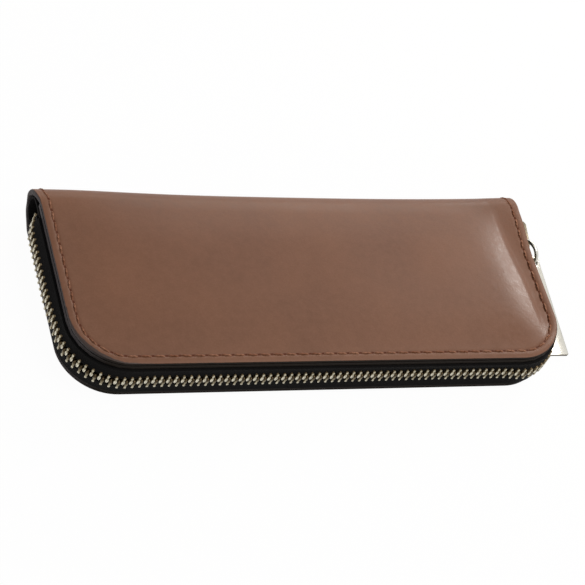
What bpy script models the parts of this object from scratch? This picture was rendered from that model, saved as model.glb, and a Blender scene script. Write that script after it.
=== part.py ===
"""Zip-round leather case for a manicure set, closed, with the tools stowed inside.

Metres, +Z up. X runs along the case, -Y is the zip side and +Y the folded spine.
The origin is the middle of the base's flat underside.
"""

import math

import bmesh
import bpy
from mathutils import Matrix, Vector

# The case
case_length = 0.180
case_width = 0.0656  # front edge to the line where the spine starts to bend
case_thickness = 0.0180
corner_radius = 0.0185  # the two front corners
fold_radius = 0.0080  # outside of the bend at each edge of the spine
least_corner = 0.003  # smallest corner radius of an inner ring

# The layers of a panel, from the outside in
leather_thickness = 0.0013
board_thickness = 0.0014
tape_thickness = 0.0005
lining_thickness = 0.0007
layer_gap = 0.00025
running_gap = 0.0003
pad_crown = 0.0015  # how far the padding lifts the middle of the cover
margin_width = 0.0055  # flat margin that the stitches run along
crown_run_shares = (0.13, 0.29, 0.55, 0.90)  # places between the margin and the middle
crown_shares = (0.34, 0.62, 0.88, 1.0)  # the padding's lift at those places
board_inset = 0.0001
board_back = 0.0010  # the board stops this far before the spine's bend
lining_back = 0.0012
lining_step = 0.0010  # run of the slope where the lining's backing starts, inside the tape
spine_lining_inset = 0.0010  # the spine's lining stops this far inside its leather

# The zip
zip_proud = 0.0008  # tape face in front of the leather's edge
tape_flange = 0.0080  # tape that is sewn between board and lining
tape_overrun = 0.0026  # tape that goes on past the panel at the slider's end
tape_stub = 0.00045  # what is left of the flange where it is trimmed
tooth_pitch = 0.00254
tooth_width = 0.0009
tooth_flank = 0.00008
tooth_thickness = 0.0024
tooth_reach = 0.00275  # foot of a tooth from the middle of the chain
tooth_mesh = 0.00075  # how far a tooth reaches past the middle
cord_thickness = 0.0012
cord_near = 0.00125  # near edge of the cord from the middle of the chain
cord_far = 0.00245
curl_radius = 0.0060  # the closed end of the zip curls into the case
curl_turn = math.radians(65)
curl_start = 0.0056  # where the curl starts, before the spine's bend
curl_tail = 0.0034
stop_length = 0.0017
stop_grip = 0.0008  # how far a stop reaches down over the tape
stop_rise = 0.0011

# The slider and its pull
slider_length = 0.0130
slider_lead = -0.0006  # slider's leading end, just past the start of the spine's bend
slider_wall = 0.0010
slider_lip = 0.0007
slider_side_gap = 0.0003
slider_slot = 0.0011
slider_nose = 0.0016
slider_bevel = 0.0004
channel_spare = 0.0002
wedge_height = 0.0024
wedge_length = 0.0052
wedge_setback = 0.0008
bridge_width = 0.0024
bridge_bar = 0.0011
bridge_play = 0.0024  # room under the bridge beyond the ring's wire
bridge_span = 0.0090  # clear length under the bridge
bridge_leg = 0.0013
bridge_drop = 0.0015  # how much lower the bridge is at its tail
bridge_shift = 0.0004  # the bridge's middle behind the slider's
ring_radius = 0.0042
ring_wire = 0.0015
ring_swing = math.radians(15)
ring_droop = math.radians(11.0)
plate_length = 0.0390
plate_width = 0.0095  # at the free end; it narrows to the eye
plate_rim = 0.0010  # metal round the plate's hole
plate_thickness = 0.0011
plate_play = 0.0011  # the hole is this much wider than the ring's wire
plate_turn = math.radians(0.6)
plate_end_radius = 0.0008

# Tool straps
strap_thickness = 0.0007
strap_width = 0.0100
strap_foot = 0.0016
strap_rise = 0.0005  # run of a strap's slope beside a tool
strap_gap = 0.0003
strap_places_shares = {"scissors": -0.378, "left": -0.133, "right": 0.489}

# Tools: places along the case as shares of its half length, lanes as shares of its half width
scissors_pivot_shares = (-0.378, -0.267)
scissors_tip_share = 0.489
scissors_ring_shares = (-0.389, 0.326)
scissors_blade = 0.0056
scissors_heel = 0.0085
scissors_shank = 0.0040
scissors_tip = 0.0010
scissors_thickness = 0.0016
scissors_ring_long = 0.0115
scissors_ring_short = 0.0095
scissors_ring_band = 0.0028
screw_radius = 0.0013
screw_head = 0.0026
screw_head_height = 0.0007
screw_play = 0.0003
tweezers_span_shares = (-0.311, 0.622)
tweezers_lane_share = 0.424
tweezers_sheet = 0.0011
tweezers_spread = 0.0060
tweezers_width = 0.0080
tweezers_tip_width = 0.0030
tweezers_back_width = 0.0050
file_span_shares = (-0.422, 0.800)
file_lane_share = 0.776
file_width = 0.0080
file_point = 0.0012
file_thickness = 0.0010
pusher_span_shares = (-0.311, 0.833)
pusher_lane_share = 0.118
pusher_grip = 0.0026
pusher_waist = 0.0015
pusher_spade = 0.0030
pusher_edge = 0.0005
clipper_span_shares = (0.200, 0.800)
clipper_lane_share = -0.445
clipper_width = 0.0120
clipper_sheet = 0.0011
clipper_bow = 0.0020
clipper_jaw_gap = 0.0006
clipper_pin_radius = 0.0011
clipper_pin_share = 0.80
clipper_lever_sheet = 0.0013
clipper_lever_width = 0.0100
clipper_cap = 0.0006

# How finely round shapes are cut
corner_steps = 6
bend_steps = 4
wire_sides = 8
ring_steps = 24
round_sides = 12
smooth_angle = math.radians(35)
cut_overrun = 0.0020

# Places that follow from the sizes above
half_length = case_length / 2
half_width = case_width / 2
middle_z = case_thickness / 2
board_level = leather_thickness + layer_gap
tape_level = board_level + board_thickness + layer_gap
rim_level = tape_level + tape_thickness + layer_gap
floor_level = rim_level + lining_thickness
tool_level = floor_level + running_gap
zip_inset = tape_thickness / 2 - zip_proud
tape_edge = middle_z - tooth_reach - layer_gap
split_turn = math.radians(22.5)  # the spine panel ends this far round each bend
split_gap = running_gap / fold_radius
bridge_rise = ring_wire + bridge_play
plate_hole = (ring_wire + plate_play) / 2
plate_eye = plate_hole + plate_rim
fold_out = fold_radius * (math.pi / 4)
fold_up = fold_radius * (1 - math.pi / 4)
lower_fold = Vector((0, half_width + fold_out, fold_up))
upper_fold = Vector((0, half_width + fold_out, case_thickness - fold_up))


def clear_scene():
    for old in list(bpy.data.objects):
        bpy.data.objects.remove(old, do_unlink=True)


def finish(name, colour, roughness, metallic=0.0):
    material = bpy.data.materials.new(name)
    material.use_nodes = True
    shader = material.node_tree.nodes["Principled BSDF"]
    shader.inputs["Base Color"].default_value = (*colour, 1)
    shader.inputs["Roughness"].default_value = roughness
    shader.inputs["Metallic"].default_value = metallic
    return material


def pivot(name, place, parent=None):
    """An empty on a joint's axis, which carries the pieces that turn or slide there."""
    empty = bpy.data.objects.new(name, None)
    bpy.context.scene.collection.objects.link(empty)
    empty.location = place
    if parent:
        empty.parent = parent
        empty.matrix_parent_inverse = Matrix.Translation(parent.location).inverted()
    return empty


def place_mesh(name, shape, material, carrier=None, hidden=False):
    """Makes an object of a bmesh whose points are already where they belong."""
    bmesh.ops.recalc_face_normals(shape, faces=shape.faces)
    mesh = bpy.data.meshes.new(name)
    shape.to_mesh(mesh)
    shape.free()
    mesh.materials.append(material)
    mesh.shade_smooth()
    mesh.set_sharp_from_angle(angle=smooth_angle)
    piece = bpy.data.objects.new(name, mesh)
    bpy.context.scene.collection.objects.link(piece)
    if carrier:
        piece.parent = carrier
        piece.matrix_parent_inverse = Matrix.Translation(carrier.location).inverted()
    if hidden:
        piece.hide_render = True
        piece.display_type = "WIRE"
    return piece


def combine(piece, other, operation):
    modifier = piece.modifiers.new(operation.title(), "BOOLEAN")
    modifier.operation = operation
    modifier.object = other
    modifier.solver = "EXACT"


def loft(sections, ring=False):
    """Skins a closed body over sections that hold the same number of points."""
    shape = bmesh.new()
    rows = [[shape.verts.new(point) for point in section] for section in sections]
    pairs = list(zip(rows, rows[1:]))
    if ring:
        pairs.append((rows[-1], rows[0]))
    for row, following in pairs:
        for i, vert in enumerate(row):
            after = (i + 1) % len(row)
            shape.faces.new((vert, row[after], following[after], following[i]))
    if not ring:
        shape.faces.new(rows[0])
        shape.faces.new(rows[-1])
    return shape


def extrude_outline(points, travel):
    """A prism on a flat outline."""
    return loft([[Vector(p) for p in points], [Vector(p) + travel for p in points]])


def arc(centre, radius, start, end, steps):
    angles = [start + (end - start) * i / steps for i in range(steps + 1)]
    return [(centre[0] + radius * math.cos(a), centre[1] + radius * math.sin(a)) for a in angles]


def stack_z(height, upper):
    """A height counted from a panel's outer face, on the base or on the cover."""
    return case_thickness - height if upper else height


def panel_ring(inset, back, height, upper):
    """The case's plan, drawn in by inset, with its back edge the given distance short of the bend."""
    radius = max(corner_radius - inset, least_corner)
    side = half_length - inset - radius
    front = inset + radius - half_width
    plan = [(inset - half_length, half_width - back)]
    plan += arc((-side, front), radius, math.pi, 1.5 * math.pi, corner_steps)
    plan += arc((side, front), radius, 1.5 * math.pi, 2 * math.pi, corner_steps)
    plan += [(half_length - inset, half_width - back)]
    return [Vector((x, y, stack_z(height, upper))) for x, y in plan]


def panel(rings, upper):
    """A sheet given as (inset, back, outer height, inner height) from its rim to its middle."""
    outer = [panel_ring(inset, back, low, upper) for inset, back, low, _ in rings]
    inner = [panel_ring(inset, back, high, upper) for inset, back, _, high in rings]
    return loft(outer[::-1] + inner)


def back_faces(shape):
    return [
        face
        for face in shape.faces
        if min(v.co.y for v in face.verts) > half_width - layer_gap / 2
    ]


def leather_panel(name, material, upper, crown, carrier=None):
    """Outer leather of one side, with the first part of the bend into the spine."""
    insets = [0, margin_width] + [margin_width + run for run in crown_runs()]
    lifts = [0, 0] + [crown * share for share in crown_shares]
    rings = [
        (inset, inset, -lift, leather_thickness - lift) for inset, lift in zip(insets, lifts)
    ]
    shape = panel(rings, upper)
    turn = math.pi / 2 - split_turn - split_gap / 2
    start = back_faces(shape)
    bmesh.ops.spin(
        shape,
        geom=start,
        cent=(0, half_width, stack_z(fold_radius, upper)),
        axis=(1, 0, 0),
        angle=-turn if upper else turn,
        steps=bend_steps,
        use_duplicate=False,
    )
    bmesh.ops.delete(shape, geom=start, context="FACES_ONLY")
    return place_mesh(name, shape, material, carrier)


def crown_runs():
    """Distances in from the stitched margin at which the padded cover's height is set."""
    return [(half_width - margin_width) * share for share in crown_run_shares]


def board(name, material, upper, carrier=None):
    rings = [(board_inset, board_back, board_level, board_level + board_thickness)]
    return place_mesh(name, panel(rings, upper), material, carrier)


def lining(name, material, upper, carrier=None):
    """Inner lining: thin over the tape's flange, and backed out to the board inside the flange."""
    edge = zip_inset + tape_thickness / 2 + running_gap
    flange_end = zip_inset + tape_flange + layer_gap
    rings = [
        (edge, lining_back, rim_level, floor_level),
        (flange_end, lining_back + lining_step, rim_level, floor_level),
        (flange_end + lining_step, lining_back + 2 * lining_step, tape_level, floor_level),
    ]
    return place_mesh(name, panel(rings, upper), material, carrier)


def padding(name, material, carrier):
    """Foam between the cover's leather and its board, thickest in the middle."""
    rings = []
    for run, share in zip(crown_runs(), crown_shares):
        inset = margin_width + run
        top = leather_thickness + layer_gap - pad_crown * share
        if leather_thickness - top > layer_gap:
            rings.append((inset, inset, top, leather_thickness))
    return place_mesh(name, panel(rings, True), material, carrier)


def bend_point(radius, turn, upper):
    """A point of the spine's wall, turn being counted from the middle of the spine."""
    y = half_width + radius * math.cos(turn)
    return y, stack_z(fold_radius - radius * math.sin(turn), upper)


def spine_sheet(name, material, depth, thickness, turn, inset, carrier):
    """The spine's C-shaped wall between its two bends, depth in from the outer leather."""
    outer = fold_radius - depth
    sections = []
    for upper in (False, True):
        turns = [turn * (1 - i / bend_steps) for i in range(bend_steps + 1)]
        for angle in turns[::-1] if upper else turns:
            far = bend_point(outer, angle, upper)
            near = bend_point(outer - thickness, angle, upper)
            side = half_length - inset
            sections.append(
                [
                    Vector((-side, *far)),
                    Vector((side, *far)),
                    Vector((side, *near)),
                    Vector((-side, *near)),
                ]
            )
    return place_mesh(name, loft(sections), material, carrier)


def zip_runs():
    """The zip's path in plan as (start, heading, length, turn), from its curled end to the slider."""
    side = half_length - zip_inset
    front = half_width - zip_inset
    radius = corner_radius - zip_inset
    heading = 1.5 * math.pi - curl_turn
    curl_top = half_width - curl_start
    start_x = -side + curl_radius * (1 - math.cos(curl_turn)) - curl_tail * math.cos(heading)
    start_y = curl_top + curl_radius * math.sin(curl_turn) - curl_tail * math.sin(heading)
    lengths = [
        (curl_tail, 0),
        (curl_radius * curl_turn, curl_turn),
        (curl_top + front - radius, 0),
        (radius * math.pi / 2, math.pi / 2),
        (2 * (side - radius), 0),
        (radius * math.pi / 2, math.pi / 2),
        (front - radius + half_width + tape_overrun, 0),
    ]
    runs = []
    place = Vector((start_x, start_y))
    for length, turn in lengths:
        runs.append((place.copy(), heading, length, turn))
        place += Vector(run_offset(heading, length, turn, length))
        heading += turn
    return runs


def run_offset(heading, length, turn, distance):
    if not turn:
        return distance * math.cos(heading), distance * math.sin(heading)
    radius = length / turn
    angle = heading + turn * distance / length
    return (
        radius * (math.sin(angle) - math.sin(heading)),
        radius * (math.cos(heading) - math.cos(angle)),
    )


def walk(distance):
    """Point on the zip's path and its outward normal, at a distance from the curled end."""
    left = distance
    for start, heading, length, turn in zip_path:
        if left <= length or start is zip_path[-1][0]:
            break
        left -= length
    point = start + Vector(run_offset(heading, length, turn, left))
    angle = heading + turn * left / length
    return point, Vector((math.sin(angle), -math.cos(angle)))


def section_at(distance, profile, upper):
    """A profile of (outward offset, height) pairs set across the zip's path."""
    point, outward = walk(distance)
    return [
        Vector((*(point + outward * offset), stack_z(height, upper)))
        for offset, height in profile
    ]


def run_start(index):
    return sum(length for _, _, length, _ in zip_path[:index])


def tape(name, material, upper, carrier=None):
    """Zip tape: a flange sewn into the panel and a wall that stands up to the teeth."""
    half = tape_thickness / 2
    folded = (floor_level + running_gap, tape_stub)  # its foot is folded away where it curls in
    trimmed = (tape_level, tape_stub)
    whole = (tape_level, tape_flange)
    curl = [run_start(1) + zip_path[1][2] * i / bend_steps for i in range(bend_steps + 1)]
    stations = [(0, folded)] + [(distance, folded) for distance in curl]
    stations += [(curl[-1] + tape_stub, trimmed), (curl[-1] + 2 * tape_stub, whole)]
    for i in range(3, len(zip_path)):
        length, turn = zip_path[i][2:]
        steps = corner_steps if turn else 1
        stations += [(run_start(i) + length * k / steps, whole) for k in range(steps)]
    far = run_start(len(zip_path))
    flange_end = far - tape_overrun - lining_back
    stations += [(flange_end, whole), (flange_end + tape_stub, trimmed), (far, trimmed)]
    sections = []
    for distance, (low, flange) in stations:
        foot = low + min(tape_thickness, (tape_edge - low) / 2)
        profile = [
            (half, low),
            (half, tape_edge),
            (-half, tape_edge),
            (-half, foot),
            (-flange, foot),
            (-flange, low),
        ]
        sections.append(section_at(distance, profile, upper))
    return place_mesh(name, loft(sections), material, carrier)


def block_profile(half, near, far):
    """Rectangle across the zip's path: half its thickness, and two heights from the chain's middle."""
    return [
        (half, middle_z - far),
        (half, middle_z + near),
        (-half, middle_z + near),
        (-half, middle_z - far),
    ]


def teeth(name, material, start, end, upper, carrier=None):
    """A row of metal teeth on its cord, one body; the other side's row sits half a pitch along."""
    cord = block_profile(cord_thickness / 2, -cord_near, cord_far)
    tooth = block_profile(tooth_thickness / 2, tooth_mesh, tooth_reach)
    first = math.ceil((start + tooth_width) / tooth_pitch)
    last = math.floor((end - tooth_pitch) / tooth_pitch)
    shift = tooth_pitch / 2 if upper else 0
    sections = []
    for number in range(first, last + 1):
        middle = number * tooth_pitch + shift
        reach = tooth_width / 2
        sections += [
            section_at(middle - reach - tooth_flank, cord, upper),
            section_at(middle - reach, tooth, upper),
            section_at(middle + reach, tooth, upper),
            section_at(middle + reach + tooth_flank, cord, upper),
        ]
    return place_mesh(name, loft(sections), material, carrier)


def clip(name, material, distance, upper, top, carrier=None):
    """A metal stop pinched over the tape's edge, its top the given height from the chain's middle."""
    half = tooth_thickness / 2
    slot = tape_thickness / 2 + layer_gap
    root = tape_edge + layer_gap
    low = tape_edge - stop_grip
    profile = [
        (half, low),
        (half, top),
        (-half, top),
        (-half, low),
        (-slot, low),
        (-slot, root),
        (slot, root),
        (slot, low),
    ]
    ends = (distance, distance + stop_length)
    shape = loft([section_at(at, profile, upper) for at in ends])
    return place_mesh(name, shape, material, carrier)


def box(low, high):
    (x0, y0, z0), (x1, y1, z1) = low, high
    outline = [(x0, y0, z0), (x1, y0, z0), (x1, y1, z0), (x0, y1, z0)]
    return extrude_outline(outline, Vector((0, 0, z1 - z0)))


def slider_body(material, carrier):
    """Cast slider: two plates with turned-in lips, joined by a wedge, and a bridge for the ring."""
    centre = half_length - zip_inset
    lead = half_width - slider_lead
    tail = lead - slider_length
    inner = tooth_thickness / 2 + slider_side_gap
    outer = inner + slider_wall
    channel = tooth_reach + channel_spare
    high = channel + slider_lip
    face = centre + outer
    outline = [
        (tail, -high + slider_nose / 2),
        (tail + slider_nose, -high),
        (lead - slider_nose, -high),
        (lead, -high + slider_nose / 2),
        (lead, high - slider_nose / 2),
        (lead - slider_nose, high),
        (tail + slider_nose, high),
        (tail, high - slider_nose / 2),
    ]
    points = [(centre - outer, y, middle_z + z) for y, z in outline]
    shape = extrude_outline(points, Vector((2 * outer, 0, 0)))
    bmesh.ops.recalc_face_normals(shape, faces=shape.faces)
    bmesh.ops.bevel(
        shape,
        geom=list(shape.edges),
        offset=slider_bevel,
        offset_type="OFFSET",
        segments=1,
        profile=0.5,
        affect="EDGES",
    )
    body = place_mesh("slider_body", shape, material, carrier)

    channel_cut = box(
        (centre - inner, tail - cut_overrun, middle_z - channel),
        (centre + inner, lead + cut_overrun, middle_z + channel),
    )
    slot_cut = box(
        (centre - slider_slot / 2, tail - cut_overrun, middle_z - high - cut_overrun),
        (centre + slider_slot / 2, lead + cut_overrun, middle_z + high + cut_overrun),
    )
    wedge_end = lead - wedge_setback
    wedge_middle = wedge_end - wedge_length / 2
    wedge_points = [
        (wedge_end, 0),
        (wedge_middle, wedge_height / 2),
        (wedge_end - wedge_length, 0),
        (wedge_middle, -wedge_height / 2),
    ]
    join = slider_wall / 2
    wedge = extrude_outline(
        [(centre - inner - join, y, middle_z + z) for y, z in wedge_points],
        Vector((2 * (inner + join), 0, 0)),
    )
    cuts = [
        place_mesh("slider_channel_cut", channel_cut, material, carrier, hidden=True),
        place_mesh("slider_slot_cut", slot_cut, material, carrier, hidden=True),
    ]
    for cut in cuts:
        combine(body, cut, "DIFFERENCE")
    adds = [
        place_mesh("slider_wedge", wedge, material, carrier, hidden=True),
        place_mesh("slider_bridge", bridge_shape(face), material, carrier, hidden=True),
    ]
    for add in adds:
        combine(body, add, "UNION")
    return body


def bridge_shape(face):
    """The arch on the slider's face that the ring passes under."""
    half = bridge_span / 2
    reach = half + bridge_leg
    top = bridge_rise + bridge_bar
    root = slider_wall / 2
    shoulder = bridge_bar / 2
    low_top = top - bridge_drop
    low_rise = bridge_rise - bridge_drop
    outline = [
        (-root, -reach),
        (low_top - shoulder, -reach),
        (low_top, -half),
        (top, half),
        (top - shoulder, reach),
        (-root, reach),
        (-root, half),
        (bridge_rise - shoulder / 2, half),
        (bridge_rise, half - shoulder),
        (low_rise, shoulder - half),
        (low_rise - shoulder / 2, -half),
        (-root, -half),
    ]
    foot = middle_z - bridge_width / 2
    points = [(face + x, bridge_middle() + y, foot) for x, y in outline]
    return extrude_outline(points, Vector((0, 0, bridge_width)))


def bridge_middle():
    return half_width - slider_lead - slider_length / 2 - bridge_shift


def slider_face():
    return half_length - zip_inset + tooth_thickness / 2 + slider_side_gap + slider_wall


def ring_place():
    """The ring's wire at the tail end of the bridge, which is the ring's hinge."""
    y = bridge_middle() - bridge_span / 2 + ring_wire / 2 + running_gap
    return Vector((slider_face() + ring_wire / 2 + bridge_play / 4, y, middle_z))


def ring_way():
    return Vector((math.sin(ring_swing), -math.cos(ring_swing), 0))


def ring_centre():
    return ring_place() + ring_way() * ring_radius


def plate_place():
    """Where the plate hangs on the ring: a little below the point opposite the bridge."""
    way = ring_way() * math.cos(ring_droop) - Vector((0, 0, math.sin(ring_droop)))
    return ring_centre() + way * ring_radius


def plate_axis():
    """The ring's wire where it goes through the plate, which is the plate's hinge."""
    return ring_way() * math.sin(ring_droop) + Vector((0, 0, math.cos(ring_droop)))


def pull_ring(material, carrier):
    """Round wire ring: a circle of small circles."""
    centre = ring_centre()
    sections = []
    for i in range(ring_steps):
        angle = 2 * math.pi * i / ring_steps
        spoke = ring_way() * math.cos(angle) + Vector((0, 0, math.sin(angle)))
        side = Vector((ring_way().y, -ring_way().x, 0))
        ring = []
        for k in range(wire_sides):
            turn = 2 * math.pi * k / wire_sides
            reach = ring_radius + ring_wire / 2 * math.cos(turn)
            ring.append(centre + spoke * reach + side * (ring_wire / 2 * math.sin(turn)))
        sections.append(ring)
    return place_mesh("pull_ring", loft(sections, ring=True), material, carrier)


def pull_plate(material, carrier):
    """Flat metal pull that widens evenly from its eye to a square end."""
    far = plate_length - plate_eye
    neck = plate_eye
    half = plate_width / 2
    nick = plate_end_radius
    outline = [
        (-plate_eye, neck - nick),
        (-plate_eye + nick, neck),
        (plate_eye, neck),
        (far - nick / 2, half),
        (far, half - nick / 2),
    ]
    outline += [(along, -across) for along, across in outline[::-1]]
    shape = extrude_outline(
        [(along, across, -plate_thickness / 2) for along, across in outline],
        Vector((0, 0, plate_thickness)),
    )
    hole = extrude_outline(
        [
            (x, y, -plate_thickness)
            for x, y in arc((0, 0), plate_hole, 0, 2 * math.pi, round_sides)[:-1]
        ],
        Vector((0, 0, 2 * plate_thickness)),
    )
    normal = plate_axis()
    level = ring_way() * math.cos(ring_droop) - Vector((0, 0, math.sin(ring_droop)))
    turned = Matrix.Rotation(plate_turn - ring_swing, 3, normal) @ level
    across = normal.cross(turned)
    frame = Matrix((turned, across, normal)).transposed().to_4x4()
    frame.translation = plate_place()
    for bm in (shape, hole):
        bmesh.ops.transform(bm, matrix=frame, verts=bm.verts)
    plate = place_mesh("pull_plate", shape, material, carrier)
    combine(plate, place_mesh("pull_plate_hole", hole, material, carrier, True), "DIFFERENCE")
    return plate


def lane(share):
    return (half_width - zip_inset) * share


def along(share):
    return half_length * share


def strap(name, material, place, humps):
    """A sewn strap across the case; humps are (low y, high y, height) over the tools it holds."""
    foot = floor_level + running_gap
    under = []
    for low, high, top in humps:
        under += [
            (low - strap_gap - strap_rise, foot),
            (low - strap_gap, top + strap_gap),
            (high + strap_gap, top + strap_gap),
            (high + strap_gap + strap_rise, foot),
        ]
    under = [(under[0][0] - strap_foot, foot), *under, (under[-1][0] + strap_foot, foot)]
    over = []
    for i, (y, z) in enumerate(under):
        rising = i % 4 in (1, 2)
        shift = -strap_thickness if rising else strap_thickness
        at_end = i in (0, len(under) - 1)
        over.append((y if at_end else y + shift, z + strap_thickness))
    outline = under + over[::-1]
    start = place - strap_width / 2
    points = [(start, y, z) for y, z in outline]
    return place_mesh(name, extrude_outline(points, Vector((strap_width, 0, 0))), material)


def flat_strip(stations, low, high):
    """A flat bar along X given as (x, y, width) stations between two heights."""
    return loft(
        [
            [
                Vector((x, y - width / 2, low)),
                Vector((x, y + width / 2, low)),
                Vector((x, y + width / 2, high)),
                Vector((x, y - width / 2, high)),
            ]
            for x, y, width in stations
        ]
    )


def drum(place, radius, low, high):
    circle = arc(place, radius, 0, 2 * math.pi, round_sides)[:-1]
    return extrude_outline([(x, y, low) for x, y in circle], Vector((0, 0, high - low)))


def scissors_half(name, material, side, level, carrier=None):
    """One half of the scissors: blade, heel, shank and finger ring, with the screw's hole."""
    px, py = along(scissors_pivot_shares[0]), lane(scissors_pivot_shares[1])
    tip = along(scissors_tip_share)
    ring_x = along(scissors_ring_shares[0])
    ring_y = side * lane(scissors_ring_shares[1])
    middle = scissors_ring_long - scissors_ring_band / 2
    stations = [
        (px + tip, py - side * scissors_tip / 2, scissors_tip),
        (px + tip / 2, py - side * scissors_blade / 8, scissors_blade),
        (px + scissors_heel / 2, py, scissors_heel),
        (px - scissors_heel / 2, py, scissors_heel),
        (px + ring_x / 2, py + ring_y / 3, scissors_shank),
        (px + ring_x + middle, py + ring_y * 3 / 4, scissors_shank),
    ]
    top = level + scissors_thickness
    half = place_mesh(name, flat_strip(stations, level, top), material, carrier)
    sections = []
    for i in range(ring_steps):
        angle = 2 * math.pi * i / ring_steps
        spoke = Vector((math.cos(angle), math.sin(angle)))
        rim = Vector((spoke.x * scissors_ring_long, spoke.y * scissors_ring_short))
        bore = rim - spoke * scissors_ring_band
        section = []
        for point, z in ((rim, level), (rim, top), (bore, top), (bore, level)):
            section.append(Vector((px + ring_x + point.x, py + ring_y + point.y, z)))
        sections.append(section)
    ring = place_mesh(name + "_ring", loft(sections, ring=True), material, carrier, True)
    hole = drum((px, py), screw_radius + screw_play, level - cut_overrun, top + cut_overrun)
    combine(half, ring, "UNION")
    combine(half, place_mesh(name + "_hole", hole, material, carrier, True), "DIFFERENCE")
    return half


def scissors(material, carrier):
    lower = tool_level
    upper = lower + scissors_thickness + running_gap
    scissors_half("scissors_lower_half", material, -1, lower)
    scissors_half("scissors_upper_half", material, 1, upper, carrier)
    top = upper + scissors_thickness + running_gap
    px, py = along(scissors_pivot_shares[0]), lane(scissors_pivot_shares[1])
    profile = [
        (screw_radius, lower),
        (screw_radius, top),
        (screw_head, top),
        (screw_head, top + screw_head_height / 2),
        (screw_head * 3 / 4, top + screw_head_height),
    ]
    sections = []
    for radius, z in profile:
        circle = arc((px, py), radius, 0, 2 * math.pi, round_sides)[:-1]
        sections.append([Vector((x, y, z)) for x, y in circle])
    place_mesh("scissors_screw", loft(sections), material)
    return top + screw_head_height


def tweezers(material):
    """Two sprung arms joined at the back, the upper one standing off the lower."""
    start, end = (along(share) for share in tweezers_span_shares)
    y = lane(tweezers_lane_share)
    run = end - start
    top = tool_level + tweezers_spread
    sheet = tweezers_sheet
    low = tool_level
    side = [
        (start, low),
        (start + run / 2, low),
        (end, low + sheet / 2),
        (end, low + sheet),
        (start + run / 2, low + sheet),
        (start + run / 6, low + sheet),
        (start + run / 6, low + sheet + running_gap),
        (start + run / 2, top - sheet * 3 / 2),
        (end, top - sheet),
        (end, top - sheet / 2),
        (start + run / 2, top - sheet / 2),
        (start + run / 6, low + 2 * sheet + running_gap),
        (start, low + 2 * sheet),
    ]
    shape = extrude_outline(
        [(x, y - tweezers_width / 2, z) for x, z in side], Vector((0, tweezers_width, 0))
    )
    for vert in shape.verts:
        width = tweezers_width
        if vert.co.x > end - sheet:
            width = tweezers_tip_width
        if vert.co.x < start + sheet:
            width = tweezers_back_width
        vert.co.y = y + (vert.co.y - y) * width / tweezers_width
    place_mesh("tweezers", shape, material)
    return top


def nail_file(material):
    start, end = (along(share) for share in file_span_shares)
    y = lane(file_lane_share)
    run = end - start
    stations = [
        (start, y, file_point),
        (start + run / 12, y, file_width / 2),
        (start + run / 5, y, file_width * 3 / 4),
        (start + run / 2, y, file_width),
        (end - file_width / 2, y, file_width),
        (end - file_width / 8, y, file_width * 3 / 4),
        (end, y, file_width / 3),
    ]
    top = tool_level + file_thickness
    place_mesh("nail_file", flat_strip(stations, tool_level, top), material)
    return top


def cuticle_pusher(material):
    """Turned handle with a spade at one end and a flat pick at the other."""
    start, end = (along(share) for share in pusher_span_shares)
    run = end - start
    y = lane(pusher_lane_share)
    z = tool_level + pusher_grip
    profile_shares = [
        (0.00, pusher_spade * 2 / 3, pusher_edge),
        (0.05, pusher_spade, pusher_edge),
        (0.13, pusher_waist, pusher_waist),
        (0.24, pusher_waist, pusher_waist),
        (0.32, pusher_grip, pusher_grip),
        (0.68, pusher_grip, pusher_grip),
        (0.76, pusher_waist, pusher_waist),
        (0.92, pusher_waist, pusher_edge),
        (1.00, pusher_edge, pusher_edge),
    ]
    sections = []
    for share, wide, tall in profile_shares:
        sections.append(
            [
                Vector((start + run * share, y + wide * math.cos(a), z + tall * math.sin(a)))
                for a in [2 * math.pi * k / round_sides for k in range(round_sides)]
            ]
        )
    place_mesh("cuticle_pusher", loft(sections), material)
    return z + pusher_grip


def bowed_plate(name, material, stations, width, y):
    """A plate along X given as (x, low, high) stations, bent up and down along its length."""
    sections = [
        [
            Vector((x, y - width / 2, low)),
            Vector((x, y + width / 2, low)),
            Vector((x, y + width / 2, high)),
            Vector((x, y - width / 2, high)),
        ]
        for x, low, high in stations
    ]
    return place_mesh(name, loft(sections), material)


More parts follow.
